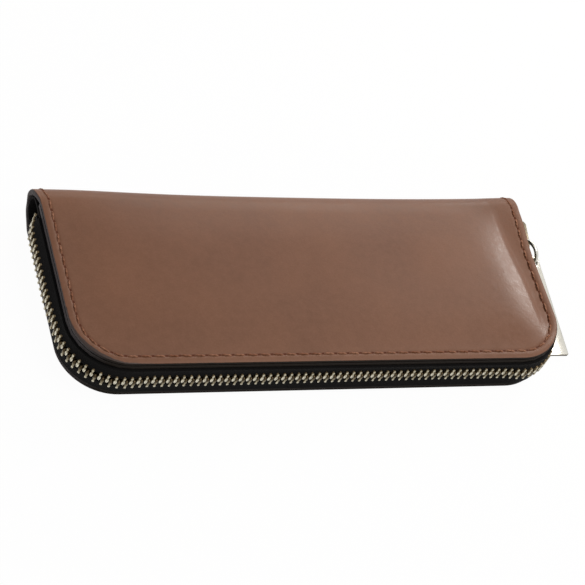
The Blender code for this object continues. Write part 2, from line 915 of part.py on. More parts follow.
def nail_clipper(material):
    """Two jaws bowed apart, a pin through both, and the lever folded flat on top."""
    start, end = (along(share) for share in clipper_span_shares)
    run = end - start
    y = lane(clipper_lane_share)
    sheet = clipper_sheet
    low = tool_level
    pin_x = start + run * clipper_pin_share
    upper = low + sheet + running_gap
    bite = low + sheet + clipper_bow / 2
    lower_jaw = [
        (start, low, low + sheet),
        (pin_x, low, low + sheet),
        (end - sheet, bite - clipper_jaw_gap / 2 - sheet, bite - clipper_jaw_gap / 2),
        (end, bite - clipper_jaw_gap / 2 - sheet / 2, bite - clipper_jaw_gap / 2),
    ]
    upper_jaw = [
        (start, upper, upper + sheet),
        (start + run / 6, upper, upper + sheet),
        (pin_x, upper + clipper_bow, upper + clipper_bow + sheet),
        (end - sheet, bite + clipper_jaw_gap / 2, bite + clipper_jaw_gap / 2 + sheet),
        (end, bite + clipper_jaw_gap / 2, bite + clipper_jaw_gap / 2 + sheet / 2),
    ]
    lever_low = upper + clipper_bow + sheet + running_gap
    lever_end = start + run / 12
    lever = [
        (lever_end, lever_low - clipper_bow / 2, lever_low - clipper_bow / 2 + clipper_lever_sheet),
        (start + run / 3, lever_low, lever_low + clipper_lever_sheet),
        (pin_x + run / 12, lever_low, lever_low + clipper_lever_sheet),
    ]
    pieces = [
        bowed_plate("clipper_lower_jaw", material, lower_jaw, clipper_width, y),
        bowed_plate("clipper_upper_jaw", material, upper_jaw, clipper_width, y),
        bowed_plate("clipper_lever", material, lever, clipper_lever_width, y),
    ]
    top = lever_low + clipper_lever_sheet
    bore = drum((pin_x, y), clipper_pin_radius + running_gap, low - sheet, top + cut_overrun)
    cut = place_mesh("clipper_bore", bore, material, hidden=True)
    for piece in pieces:
        combine(piece, cut, "DIFFERENCE")
    profile = [
        (clipper_pin_radius, low),
        (clipper_pin_radius, top + running_gap),
        (clipper_pin_radius * 2, top + running_gap),
        (clipper_pin_radius * 3 / 2, top + running_gap + clipper_cap),
    ]
    sections = []
    for radius, z in profile:
        circle = arc((pin_x, y), radius, 0, 2 * math.pi, round_sides)[:-1]
        sections.append([Vector((x, yy, z)) for x, yy in circle])
    place_mesh("clipper_pin", loft(sections), material)
    return top


def span(lane_share, width):
    return lane(lane_share) - width / 2, lane(lane_share) + width / 2


def tools_and_straps(steel, leather, scissors_carrier):
    scissors_top = scissors(steel, scissors_carrier)
    tweezers_top = tweezers(steel)
    file_top = nail_file(steel)
    pusher_top = cuticle_pusher(steel)
    clipper_top = nail_clipper(steel)
    over_scissors = span(scissors_pivot_shares[1], scissors_heel + strap_width / 2)
    over_pusher = span(pusher_lane_share, 2 * pusher_grip)
    over_tweezers = span(tweezers_lane_share, tweezers_width)
    over_file = span(file_lane_share, file_width)
    over_clipper = span(clipper_lane_share, clipper_width)
    humps = {
        "scissors": [(*over_scissors, scissors_top)],
        "left": [
            (*over_pusher, pusher_top),
            (*over_tweezers, tweezers_top),
            (*over_file, file_top),
        ],
        "right": [
            (*over_clipper, clipper_top),
            (*over_pusher, pusher_top),
            (*over_tweezers, tweezers_top),
            (*over_file, file_top),
        ],
    }
    for side, held in humps.items():
        strap("strap_" + side, leather, along(strap_places_shares[side]), held)


clear_scene()
zip_path = zip_runs()

brown = finish("brown leather", (0.19, 0.092, 0.055), 0.42)
dark = finish("backing board", (0.012, 0.012, 0.014), 0.60)
cloth = finish("black zip tape", (0.008, 0.008, 0.010), 0.85)
suede = finish("black lining", (0.014, 0.013, 0.013), 0.90)
foam = finish("padding foam", (0.30, 0.29, 0.27), 0.95)
brass = finish("antique brass", (0.62, 0.54, 0.36), 0.30, 1.0)
nickel = finish("polished nickel", (0.80, 0.79, 0.76), 0.15, 1.0)
steel = finish("tool steel", (0.62, 0.63, 0.65), 0.25, 1.0)

spine_pivot = pivot("spine_fold", lower_fold)
cover_pivot = pivot("cover_fold", upper_fold, spine_pivot)
slider_pivot = pivot(
    "slider_track", (half_length - zip_inset, half_width - slider_lead - slider_length, middle_z)
)
ring_pivot = pivot("ring_hinge", ring_place(), slider_pivot)
plate_pivot = pivot("plate_hinge", plate_place(), ring_pivot)
scissors_pivot = pivot(
    "scissors_pivot",
    (along(scissors_pivot_shares[0]), lane(scissors_pivot_shares[1]), tool_level),
)

leather_panel("base_leather", brown, False, 0)
leather_panel("cover_leather", brown, True, pad_crown, cover_pivot)
board("base_board", dark, False)
board("cover_board", dark, True, cover_pivot)
padding("cover_padding", foam, cover_pivot)
lining("base_lining", suede, False)
lining("cover_lining", suede, True, cover_pivot)

spine_turn = split_turn - split_gap / 2
spine_sheet("spine_leather", brown, 0, leather_thickness, spine_turn, 0, spine_pivot)
spine_sheet(
    "spine_lining",
    suede,
    leather_thickness + layer_gap,
    lining_thickness,
    spine_turn / 2,
    spine_lining_inset,
    spine_pivot,
)

tape("zip_tape_lower", cloth, False)
tape("zip_tape_upper", cloth, True, cover_pivot)
row_start = 2 * stop_length
side_start = run_start(len(zip_path) - 1)
slider_tail = run_start(len(zip_path)) - tape_overrun - slider_lead - slider_length
side_end = slider_tail + slider_length / 2 - running_gap
for side, upper, carrier in (("lower", False, None), ("upper", True, cover_pivot)):
    teeth("zip_teeth_" + side, brass, row_start, side_start, upper, carrier)
    teeth("zip_teeth_" + side + "_side", brass, side_start, side_end, upper, carrier)
    stop_at = run_start(len(zip_path)) - stop_length - running_gap / 2
    clip("top_stop_" + side, brass, stop_at, upper, tape_edge + stop_rise, carrier)
clip("bottom_stop", brass, stop_length / 2, False, middle_z + tooth_reach - running_gap)

slider_body(nickel, slider_pivot)
pull_ring(nickel, ring_pivot)
pull_plate(nickel, plate_pivot)
tools_and_straps(steel, suede, scissors_pivot)
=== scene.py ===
import math

import bmesh
import bpy
from mathutils import Matrix, Vector, noise


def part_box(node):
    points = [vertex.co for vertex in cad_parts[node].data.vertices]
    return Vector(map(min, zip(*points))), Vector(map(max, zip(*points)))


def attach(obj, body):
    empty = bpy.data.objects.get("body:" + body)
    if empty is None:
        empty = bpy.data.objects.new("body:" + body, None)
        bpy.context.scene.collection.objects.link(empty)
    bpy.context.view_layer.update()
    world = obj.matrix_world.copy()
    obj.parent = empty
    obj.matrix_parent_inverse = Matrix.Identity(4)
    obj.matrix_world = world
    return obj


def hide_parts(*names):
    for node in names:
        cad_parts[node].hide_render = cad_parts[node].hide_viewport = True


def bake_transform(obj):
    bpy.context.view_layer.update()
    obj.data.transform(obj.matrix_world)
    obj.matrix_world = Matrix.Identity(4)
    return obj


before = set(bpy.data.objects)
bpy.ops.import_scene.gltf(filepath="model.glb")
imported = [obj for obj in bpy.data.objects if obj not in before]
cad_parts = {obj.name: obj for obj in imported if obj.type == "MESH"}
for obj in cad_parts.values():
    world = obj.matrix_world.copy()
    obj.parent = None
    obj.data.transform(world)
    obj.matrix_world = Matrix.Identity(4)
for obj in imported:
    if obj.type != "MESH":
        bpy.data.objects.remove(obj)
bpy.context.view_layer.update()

mm = 0.001
up = Vector((0, 0, 1))
near = 1e-6  # places closer than this are the same

# the closed case: its plan, its bends and the levels of its layers
case = {
    "halfLength": 90 * mm,
    "halfWidth": 32.8 * mm,  # from the middle to the line where the spine starts to bend
    "thick": 18.0 * mm,
    "corner": 18.5 * mm,
    "bend": 8.0 * mm,
    "floor": 4.65 * mm,  # lining's face above the case's underside
}
middle = case["thick"] / 2
cornerX = case["halfLength"] - case["corner"]
cornerY = case["corner"] - case["halfWidth"]
bendY = case["halfWidth"]  # the line that the bend at the cover's back turns about
bendZ = case["thick"] - case["bend"]
print("frame loaded, %d nodes" % len(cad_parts))


# shader maths: a Signal is a value that varies over a surface
class Signal:
    def __init__(self, nodes, socket):
        self.nodes = nodes
        self.socket = socket

    def maths(self, operation, first, second=0.0):
        made = self.nodes.node("ShaderNodeMath", {"operation": operation}, {0: first, 1: second})
        return Signal(self.nodes, made.outputs[0])

    def __add__(self, other):
        return self.maths("ADD", self, other)

    def __radd__(self, other):
        return self.maths("ADD", other, self)

    def __sub__(self, other):
        return self.maths("SUBTRACT", self, other)

    def __rsub__(self, other):
        return self.maths("SUBTRACT", other, self)

    def __mul__(self, other):
        return self.maths("MULTIPLY", self, other)

    def __rmul__(self, other):
        return self.maths("MULTIPLY", other, self)

    def __truediv__(self, other):
        return self.maths("DIVIDE", self, other)

    def __rtruediv__(self, other):
        return self.maths("DIVIDE", other, self)

    def __abs__(self):
        return self.maths("ABSOLUTE", self)

    def fraction(self):
        return self.maths("FRACT", self)


class Nodes:
    # a node tree, with the one way that nodes are added to it
    def __init__(self, tree):
        self.tree = tree

    def node(self, kind, settings, values):
        made = self.tree.nodes.new(kind)
        for key, value in settings.items():
            setattr(made, key, value)
        for key, value in values.items():
            socket = value.socket if isinstance(value, Signal) else value
            if isinstance(socket, bpy.types.NodeSocket):
                self.tree.links.new(socket, made.inputs[key])
            else:
                made.inputs[key].default_value = socket
        return made

    def signal(self, output, kind, settings, values):
        return Signal(self, self.node(kind, settings, values).outputs[output])


paints = {}


class Paint(Nodes):
    # one material, kept under a short name, with its Principled shader and what feeds it
    def __init__(self, short, name, colour, roughness, **fixed):
        paints[short] = self
        self.material = bpy.data.materials.new(name)
        self.material.use_nodes = True
        self.material.diffuse_color = (*colour, 1)
        super().__init__(self.material.node_tree)
        self.shader = self.tree.nodes["Principled BSDF"]
        self.shader.inputs["Base Color"].default_value = (*colour, 1)
        self.shader.inputs["Roughness"].default_value = roughness
        for socket, value in fixed.items():
            self.shader.inputs[socket.replace("_", " ")].default_value = value

    def objectPlace(self, stretch=(1, 1, 1), turn=(0, 0, 0)):
        place = self.node("ShaderNodeTexCoord", {}, {}).outputs["Object"]
        values = {"Vector": place, "Scale": stretch, "Rotation": turn}
        return self.node("ShaderNodeMapping", {}, values).outputs["Vector"]

    def along(self, axis):
        place = self.node("ShaderNodeTexCoord", {}, {}).outputs["Object"]
        return self.signal(axis, "ShaderNodeSeparateXYZ", {}, {"Vector": place})

    def attribute(self, name):
        return self.signal("Fac", "ShaderNodeAttribute", {"attribute_name": name}, {})

    def noise(self, place, scale, detail=3.0, distortion=0.0):
        values = {"Vector": place, "Scale": scale, "Detail": detail, "Distortion": distortion}
        return self.signal("Fac", "ShaderNodeTexNoise", {}, values)

    def spread(self, signal, low, high, newLow=0.0, newHigh=1.0):
        # one range of values stretched onto another, and held at its ends
        values = {"Value": signal, "From Min": low, "From Max": high, "To Min": newLow, "To Max": newHigh}
        return self.signal("Result", "ShaderNodeMapRange", {"clamp": True}, values)

    def mix(self, share, first, second):
        def colour(value):
            return (*value, 1) if isinstance(value, tuple) and len(value) == 3 else value

        # in its colour mode the node takes A at 6 and B at 7, and gives its result at 2
        values = {"Factor": share, 6: colour(first), 7: colour(second)}
        return self.node("ShaderNodeMix", {"data_type": "RGBA"}, values).outputs[2]

    def tint(self, share, first, second):
        self.feed("Base Color", self.mix(share, first, second))

    def tintLitLeftEnd(self, share, low, high):
        # cut edges are painted lighter grey at the left end and darker along the rest: painted light and
        # shade
        rest = self.mix(share, (0.012, 0.009, 0.007), (0.028, 0.022, 0.018))
        away = self.spread(self.along("X"), -89 * mm, -80 * mm)
        self.tint(away, self.mix(share, low, high), rest)

    def feed(self, name, value):
        socket = value.socket if isinstance(value, Signal) else value
        self.tree.links.new(socket, self.shader.inputs[name])

    def relief(self, height, strength, distance):
        values = {"Height": height, "Strength": strength, "Distance": distance}
        below = self.shader.inputs["Normal"]
        if below.is_linked:
            values["Normal"] = below.links[0].from_socket
        self.feed("Normal", self.node("ShaderNodeBump", {}, values).outputs["Normal"])


# modelling helpers
def chain(shape, points, closed=False):
    dots = [shape.verts.new(point) for point in points]
    pairs = list(zip(dots, dots[1:])) + ([(dots[-1], dots[0])] if closed else [])
    return [shape.edges.new(pair) for pair in pairs]


def runsFrom(start, heading, lengths):
    # a route in plan as (start, heading, length, turn), from (length, turn) pairs
    runs = []
    for length, turn in lengths:
        runs.append((start, heading, length, turn))
        start, heading = alongRun(runs[-1], length)
    return runs


def alongRun(run, distance):
    start, heading, length, turn = run
    if not turn:
        return start + aheadAt(heading) * distance, heading
    radius = length / turn
    angle = heading + turn * distance / length
    across = math.sin(angle) - math.sin(heading)
    return start + radius * Vector((across, math.cos(heading) - math.cos(angle), 0)), angle


def walk(runs, distance):
    # point and heading at a distance along a route
    for run in runs[:-1]:
        if distance <= run[2]:
            return alongRun(run, distance)
        distance -= run[2]
    return alongRun(runs[-1], distance)


def aheadAt(heading):
    return Vector((math.cos(heading), math.sin(heading), 0))


def outwardAt(heading):
    return Vector((math.sin(heading), -math.cos(heading), 0))


def placed(axes, place):
    # a matrix from three axes and where they meet
    matrix = Matrix(axes).transposed().to_4x4()
    matrix.translation = place
    return matrix


def routeLength(runs, count=None):
    return sum(run[2] for run in runs[:count])


def spin(shape, geom, steps, centre=(0, 0, 0), axis=(1, 0, 0), angle=0, travel=(0, 0, 0)):
    # an edge carried round or along, which leaves faces behind it
    return bmesh.ops.spin(
        shape, geom=geom, cent=centre, axis=axis, dvec=travel, angle=angle, steps=steps,
    )["geom_last"]


def sweep(shape, geom, runs, step, turnStep=0.09):
    for start, heading, length, turn in runs:
        steps = max(1, round(turn / turnStep) if turn else round(length / step))
        centre = start - outwardAt(heading) * (length / turn) if turn else start
        travel = aheadAt(heading) * (0 if turn else length / steps)
        geom = spin(shape, geom, steps, centre, up, turn, travel)


def weld(shape):
    bmesh.ops.remove_doubles(shape, verts=shape.verts, dist=2 * near)


def faceOut(shape):
    bmesh.ops.recalc_face_normals(shape, faces=shape.faces)


def thicken(shape, thickness):
    bmesh.ops.solidify(shape, geom=shape.faces[:], thickness=thickness)


def bevelEdges(shape, edges, offset, segments=2):
    bmesh.ops.bevel(
        shape, geom=edges, offset=offset, segments=segments, profile=0.5, affect="EDGES",
        material=-1, clamp_overlap=True,
    )


def sharpEdges(shape, degrees):
    limit = math.radians(degrees)
    return [e for e in shape.edges if len(e.link_faces) == 2 and e.calc_face_angle(0) > limit]


def finishShape(name, shape, skins, body=None, stands=(), smooth=38):
    for face in shape.faces:
        face.smooth = True
    for edge in shape.edges:
        edge.smooth = len(edge.link_faces) == 2 and edge.calc_face_angle(0) < math.radians(smooth)
    mesh = bpy.data.meshes.new(name)
    shape.to_mesh(mesh)
    shape.free()
    for skin in skins:
        mesh.materials.append(paints[skin].material)
    made = bpy.data.objects.new(name, mesh)
    bpy.context.scene.collection.objects.link(made)
    if body:
        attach(made, body)
    if stands:
        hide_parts(*stands)
    return made


def mirrorLevel(shape):
    # turns a shape of the base into the same shape of the cover, or back
    for vert in shape.verts:
        vert.co.z = case["thick"] - vert.co.z
    bmesh.ops.reverse_faces(shape, faces=shape.faces)


# finishes
leather = {
    "colour": (0.168, 0.078, 0.045),
    "darkCloud": (0.146, 0.067, 0.038),
    "paleCloud": (0.182, 0.084, 0.047),
    "mottle": (0.205, 0.092, 0.054),
    "pore": (0.105, 0.042, 0.022),
    "rim": (0.235, 0.115, 0.074),  # paler towards the edge: a painted highlight along the rounded rim
    # painted shade in the groove that the stitches pull
    "groove": (0.090, 0.030, 0.015),
    # painted shade in the stitch holes
    "holeShade": (0.088, 0.026, 0.012),
    # painted shade beside the ridge
    "ridgeShade": (0.090, 0.036, 0.020),
    "bare": (0.050, 0.034, 0.029),  # where the edge paint reaches over the rim
    "handledX": (50 * mm, 74 * mm),  # hands keep the right end glossier, most of all at the front
    "handledY": (2 * mm, 28 * mm),
}


def leatherPaint():
    paint = Paint("leather", "smooth brown leather", leather["colour"], 0.36, Specular_IOR_Level=0.15)
    place = paint.objectPlace()
    clouds = paint.noise(place, 38, 3)
    mottle = paint.noise(place, 420, 4)
    grain = paint.noise(place, 1700, 4)
    pebble = paint.noise(place, 760, 2)
    tone = paint.mix(paint.spread(clouds, 0.3, 0.7), leather["darkCloud"], leather["paleCloud"])
    inset = paint.attribute("inset")
    seam = abs(inset - hide["seam"])
    beat = abs((paint.attribute("along") / hide["pitch"]).fraction() - 0.5)
    # the stitch holes are painted dark: painted shade inside them
    holeShade = paint.spread(beat, 0.36, 0.42) * paint.spread(seam, 0.30, 0.48, 1, 0)
    # painted shade beside the ridge, which also dulls the hide there
    ridgeShade = paint.attribute("ridgeShade")
    for share, name in (
        (paint.spread(mottle, 0.35, 0.7, 0, 0.35), "mottle"),
        (paint.spread(grain, 0.40, 0.62, 0.16, 0), "pore"),
        # a painted highlight along the rim
        (paint.spread(inset, 0.2, 1.6, 0.18, 0), "rim"),
        # painted shade in the stitches' groove
        (paint.spread(seam, 0.15, 0.75, 0.15, 0), "groove"),
        (holeShade, "holeShade"),
        (ridgeShade * 0.12, "ridgeShade"),
    ):
        tone = paint.mix(share, tone, leather[name])
    wear = paint.spread(mottle, 0.3, 0.7, -0.12, 0.12)
    covered = paint.spread(inset - paint.attribute("skive") + wear, -0.10, 0.16)
    paint.tint(covered, leather["bare"], tone)
    handled = paint.spread(paint.along("X"), *leather["handledX"], 0, 0.11)
    handled = handled * paint.spread(paint.along("Y"), *leather["handledY"], 1, 0.4)
    dull = paint.spread(mottle, 0.3, 0.7, 0.38, 0.46) - handled
    paint.feed("Roughness", dull + 0.4 * holeShade + 0.2 * ridgeShade)
    paint.relief(grain, 0.14, 0.05 * mm)
    paint.relief(pebble, 0.34, 0.05 * mm)
    paint.relief(paint.noise(place, 240, 3, 0.8), 0.22, 0.14 * mm)


def edgePaint():
    paint = Paint("edge", "dark edge paint", (0.034, 0.034, 0.034), 0.6, Specular_IOR_Level=0.07)
    streaks = paint.noise(paint.objectPlace(), 700, 3)
    # the left end painted lighter and the rest darker: painted light and shade
    paint.tintLitLeftEnd(streaks, (0.060, 0.052, 0.052), (0.150, 0.130, 0.130))
    paint.relief(streaks, 0.25, 0.1 * mm)


def boardPaint():
    paint = Paint("board", "black board", (0.012, 0.012, 0.014), 0.6, Specular_IOR_Level=0.1)
    grain = paint.noise(paint.objectPlace(stretch=(1, 1, 3)), 900, 4)
    # the left end painted lighter and the rest darker: painted light and shade
    paint.tintLitLeftEnd(grain, (0.050, 0.044, 0.046), (0.110, 0.098, 0.100))
    paint.relief(grain, 0.3, 0.1 * mm)


def threadPaint():
    paint = Paint("thread", "waxed brown thread", (0.20, 0.090, 0.055), 0.7, Specular_IOR_Level=0.06)
    fibres = paint.noise(paint.objectPlace(), 2600, 3)
    patches = paint.noise(paint.objectPlace(), 210, 2)
    tone = paint.mix(paint.spread(patches, 0.35, 0.65), (0.205, 0.084, 0.046), (0.33, 0.165, 0.102))
    paint.tint(paint.spread(fibres, 0.35, 0.65, 0, 0.25), tone, (0.150, 0.056, 0.030))
    paint.relief(fibres, 0.3, 0.05 * mm)


def tapePaint():
    # a twill whose ribs run up the tape and lean along it, by its distances in mm
    paint = Paint("tape", "woven zip tape", (0.008, 0.008, 0.010), 0.8, Specular_IOR_Level=0.06)
    along = paint.attribute("along")
    height = paint.attribute("height")
    twill = abs(((along + height) / 0.45).fraction() - 0.5)
    yarn = abs((height / 0.30).fraction() - 0.5)
    weave = paint.spread(twill + yarn * 0.6, 0.1, 0.7)
    fuzz = paint.noise(paint.objectPlace(), 1800, 2)
    paint.tint(weave, (0.003, 0.003, 0.003), (0.012, 0.011, 0.011))
    paint.relief(weave + fuzz * 0.4, 0.6, 0.12 * mm)


def suedePaint():
    paint = Paint("suede", "black suede lining", (0.014, 0.013, 0.013), 0.9, Specular_IOR_Level=0.08)
    place = paint.objectPlace()
    nap = paint.noise(place, 1300, 4)
    strokes = paint.noise(place, 60, 2, 0.6)
    tone = paint.mix(paint.spread(nap, 0.3, 0.7), (0.006, 0.0055, 0.0055), (0.020, 0.018, 0.018))
    paint.tint(paint.spread(strokes, 0.4, 0.62, 0, 0.4), tone, (0.026, 0.024, 0.024))
    paint.relief(nap, 0.5, 0.15 * mm)


def strapPaint():
    paint = Paint("strap", "ribbed strap", (0.016, 0.015, 0.015), 0.7, Specular_IOR_Level=0.15)
    settings = {"wave_type": "BANDS", "bands_direction": "X"}
    values = {"Vector": paint.objectPlace(), "Scale": 560, "Distortion": 0.6, "Detail": 1.0}
    rib = paint.signal("Fac", "ShaderNodeTexWave", settings, values)
    paint.tint(rib, (0.007, 0.007, 0.008), (0.032, 0.030, 0.031))
    paint.relief(rib, 0.5, 0.15 * mm)


def foamPaint():
    paint = Paint("foam", "padding foam", (0.30, 0.29, 0.27), 0.95)
    values = {"Vector": paint.objectPlace(), "Scale": 900}
    pores = paint.signal("Distance", "ShaderNodeTexVoronoi", {"feature": "F1"}, values)
    paint.tint(paint.spread(pores, 0, 0.5), (0.20, 0.19, 0.17), (0.36, 0.35, 0.32))
    paint.relief(pores, 0.6, 0.3 * mm)


def brassPaint():
    paint = Paint("brass", "antique brass", (0.62, 0.54, 0.36), 0.28, Metallic=1.0)
    place = paint.objectPlace()
    tarnish = paint.noise(place, 260, 4)
    rub = paint.noise(place, 1600, 3)
    tone = paint.mix(paint.spread(tarnish, 0.4, 0.65), (0.36, 0.32, 0.22), (0.24, 0.20, 0.12))
    # a painted highlight on the teeth's bright bands, and painted shade where the value falls below zero,
    # as under the upper row
    paintedLight = paint.attribute("paintedLight")
    bright = paintedLight + paint.spread(rub, 0.3, 0.7, -0.25, 0.25)
    tone = paint.mix(paint.spread(bright, 0.2, 0.9), tone, (0.72, 0.68, 0.55))
    paint.tint(paint.spread(paintedLight, -0.8, 0), (0.055, 0.040, 0.022), tone)
    paint.feed("Roughness", paint.spread(rub, 0.3, 0.7, 0.24, 0.40))
    paint.relief(rub, 0.15, 0.05 * mm)


def shadedBrassPaint():
    # the flanks of the teeth, painted darker as painted shade, in a tone that varies like tarnish
    paint = Paint("shadedBrass", "shaded_tarnished brass", (0.12, 0.085, 0.045), 0.5, Metallic=1.0)
    tarnish = paint.noise(paint.objectPlace(), 700, 3)
    paint.tint(tarnish, (0.050, 0.034, 0.018), (0.20, 0.150, 0.085))
    paint.relief(tarnish, 0.2, 0.05 * mm)


def nickelPaint():
    paint = Paint("nickel", "polished nickel", (0.80, 0.79, 0.76), 0.18, Metallic=1.0)
    wear = paint.noise(paint.objectPlace(), 120, 3)
    hair = paint.noise(paint.objectPlace(stretch=(9, 1, 1), turn=(0, 0, 0.2)), 700, 2)
    paint.tint(paint.spread(wear, 0.4, 0.7), (0.64, 0.62, 0.56), (0.57, 0.55, 0.49))
    paint.feed("Roughness", paint.spread(hair, 0.3, 0.7, 0.14, 0.24))


def darkShadedNickelPaint():
    # the cast slider's dark metal, and the plate's edges and bevels, which are painted dark as painted
    # shade
    paint = Paint("darkShadedNickel", "dark_and_shaded nickel", (0.10, 0.085, 0.06), 0.4, Metallic=1.0)
    wear = paint.noise(paint.objectPlace(), 600, 3)
    paint.tint(wear, (0.030, 0.026, 0.020), (0.17, 0.14, 0.095))


def steelPaint():
    paint = Paint("steel", "satin steel", (0.62, 0.63, 0.65), 0.25, Metallic=1.0)
    hair = paint.noise(paint.objectPlace(stretch=(1, 14, 6)), 330, 3)
    smears = paint.noise(paint.objectPlace(), 90, 3)
    paint.tint(paint.spread(smears, 0.35, 0.7), (0.47, 0.48, 0.50), (0.35, 0.36, 0.38))
    paint.feed("Roughness", paint.spread(hair, 0.3, 0.7, 0.20, 0.34))
    paint.relief(hair, 0.12, 0.05 * mm)


# the hide: one sheet for the cover and one for the base, each with half of the spine
hide = {
    "thick": 1.3 * mm,
    # rows of faces in from the edge, in mm, closest over the roll of the padding
    "insets": (18.5, 17.0, 15.6, 14.3, 13.2, 12.3, 11.6, 11.0, 10.4, 9.8, 9.2, 8.6, 8.0, 7.4, 6.8, 6.2,
               5.6, 5.1, 4.6, 4.1, 3.7, 3.35, 3.0, 2.65, 2.3, 1.9, 1.4, 0.9, 0.4, 0.0),
    "seam": 3.0,  # the stitches' distance from the edge, in mm as the surface carries it
    "pitch": 4.6,
    "seamDepth": 0.18 * mm,
    "seamHalf": 0.55 * mm,  # half the width of the groove that the stitches pull
    "rimDrop": 0.30 * mm,
    "rimRun": 1.9 * mm,
    "rimRound": 0.55 * mm,
    "step": 2.2 * mm,
    "turn": ((32.8, 0), (40.8, 8.0)),  # y and z in mm where the bend at the spine starts and ends
    "bendFade": 1.2 * mm,  # the panel's lift fades out this close to the bend
    "hem": 0.6 * mm,  # how much thicker the cut edge is where it is folded in over the bend
    "hemY": (-2 * mm, 1 * mm),  # from the line of the bend, where the hem starts and is full
    "hemZ": (0, 4 * mm),
}
seamInset = hide["seam"] * mm


def insetAt(x, y):
    # distance in from the zipped edge: left side, front and right side
    side = case["halfLength"] - abs(x)
    front = y + case["halfWidth"]
    if side < case["corner"] and front < case["corner"]:
        return case["corner"] - math.hypot(case["corner"] - side, case["corner"] - front)
    return min(side, front)


def edgeRuns(inset, past=0.0):
    radius = case["corner"] - inset
    start = Vector((inset - case["halfLength"], bendY + past, 0))
    side = bendY + past - cornerY
    bend = (radius * math.pi / 2, math.pi / 2)
    return runsFrom(start, 1.5 * math.pi, [(side, 0), bend, (2 * cornerX, 0), bend, (side, 0)])


seamLength = routeLength(edgeRuns(seamInset))


def alongEdge(x, y, z):
    # distance along the zipped edge, measured on the line of the stitches and on round the spine
    if x > 0:
        return seamLength - alongEdge(-x, y, z)
    if y > bendY:
        rise = z - bendZ
        return min(rise, 0) - case["bend"] * min(math.atan2(y - bendY, max(rise, 0)), math.pi / 2)
    if x < -cornerX and y > cornerY:
        return bendY - y
    radius = case["corner"] - seamInset
    turned = bendY - cornerY + radius * math.pi / 2
    if x < -cornerX:
        return turned - radius * math.atan2(-x - cornerX, cornerY - y)
    return turned + cornerX + x


def swell(run, reach, power=1.5):
    return 1 - math.exp(-((max(run, 0) / reach) ** power))


def ease(value, low, high):
    share = min(max((value - low) / (high - low), 0), 1)
    return share * share * (3 - 2 * share)


def spanned(values, *spans):
    # the shares of several values through their spans, multiplied
    return math.prod(ease(value, *span) for value, span in zip(values, spans))


# the padded cover: a soft crown, with a firm ridge near the slider
crown = {
    "lift": 1.50 * mm,  # how far the padding lifts the middle
    "start": 3.8 * mm,  # in from the edge, where the lift starts
    "frontRoll": 11.0 * mm,  # run over which most of the lift is reached, at the front
    "leftRoll": 19.0 * mm,
    "backRoll": 11.0 * mm,
    "past": 2.0 * mm,  # how far past the line of the bend the lift would go on
    "ridge": 9.4 * mm,  # the padding's firm edge near the slider, in from the right end
    "ridgeLean": 3.0 * mm,  # how much further in it lies towards the spine
    "leanY": (-8 * mm, 28 * mm),  # from where to where, as in the pairs below
    "ridgeRun": 4.0 * mm,
    "ridgeRise": 0.95 * mm,
    "slope": 16.0 * mm,  # gentle slope that goes on past the ridge
    "slopePower": 3.2,
    "valley": 0.40 * mm,  # how far the hide sinks beside the ridge
    "valleyRun": 3.0 * mm,
    "sag": 0.12 * mm,  # slow waves of the soft middle
    "sagSize": 26 * mm,
    "sagRoll": 12 * mm,
    "shade": (2.4 * mm, 0.9 * mm),  # beside the ridge, where the painted shade ends and is full
    "shadeFront": (-24 * mm, -12 * mm),
    "shadeBack": (20 * mm, 38 * mm),
}


def coverLift(x, y):
    inset = insetAt(x, y)
    front = y + case["halfWidth"] - crown["start"]
    left = x + case["halfLength"] - crown["start"]
    back = bendY - y + crown["past"]
    lift = ridgeRise(case["halfLength"] - x, y) * swell(front, crown["frontRoll"])
    lift *= swell(left, crown["leftRoll"]) * swell(back, crown["backRoll"])
    waves = crown["sag"] * noise.noise(Vector((x, y, 0)) / crown["sagSize"])
    return lift + waves * swell(inset - crown["start"], crown["sagRoll"]) - rimFall(inset)


def ridgeTop(y):
    return crown["ridge"] + crown["ridgeLean"] * ease(y, *crown["leanY"])


def ridgeShadeAt(place):
    # painted shade where the hide lies beside the ridge: a little darker there, and duller
    outer, inner = crown["shade"]
    top = ridgeTop(place.y)
    share = 1 - ease(case["halfLength"] - place.x, top - outer, top - inner)
    return share * ease(place.y, *crown["shadeFront"]) * (1 - 0.5 * ease(place.y, *crown["shadeBack"]))


def ridgeRise(right, y):
    # the crown's height by the distance in from the right end
    top = ridgeTop(y)
    slope = 1 - min(max((top + crown["slope"] - right) / crown["slope"], 0), 1) ** crown["slopePower"]
    more = (crown["lift"] + crown["valley"] - crown["ridgeRise"]) * slope
    rise = (crown["ridgeRise"] + more) * ease(right, top - crown["ridgeRun"], top)
    edge = crown["start"] + top - crown["ridge"]
    return rise - crown["valley"] * ease(right, crown["start"] - crown["valleyRun"], edge)


def rimFall(inset):
    groove = math.exp(-(((inset - seamInset) / hide["seamHalf"]) ** 2))
    return hide["seamDepth"] * groove + hide["rimDrop"] * max(0, 1 - inset / hide["rimRun"]) ** 2


def baseLift(x, y):
    # the underside is flat, and only the rim and the seam leave the table
    return -rimFall(insetAt(x, y))


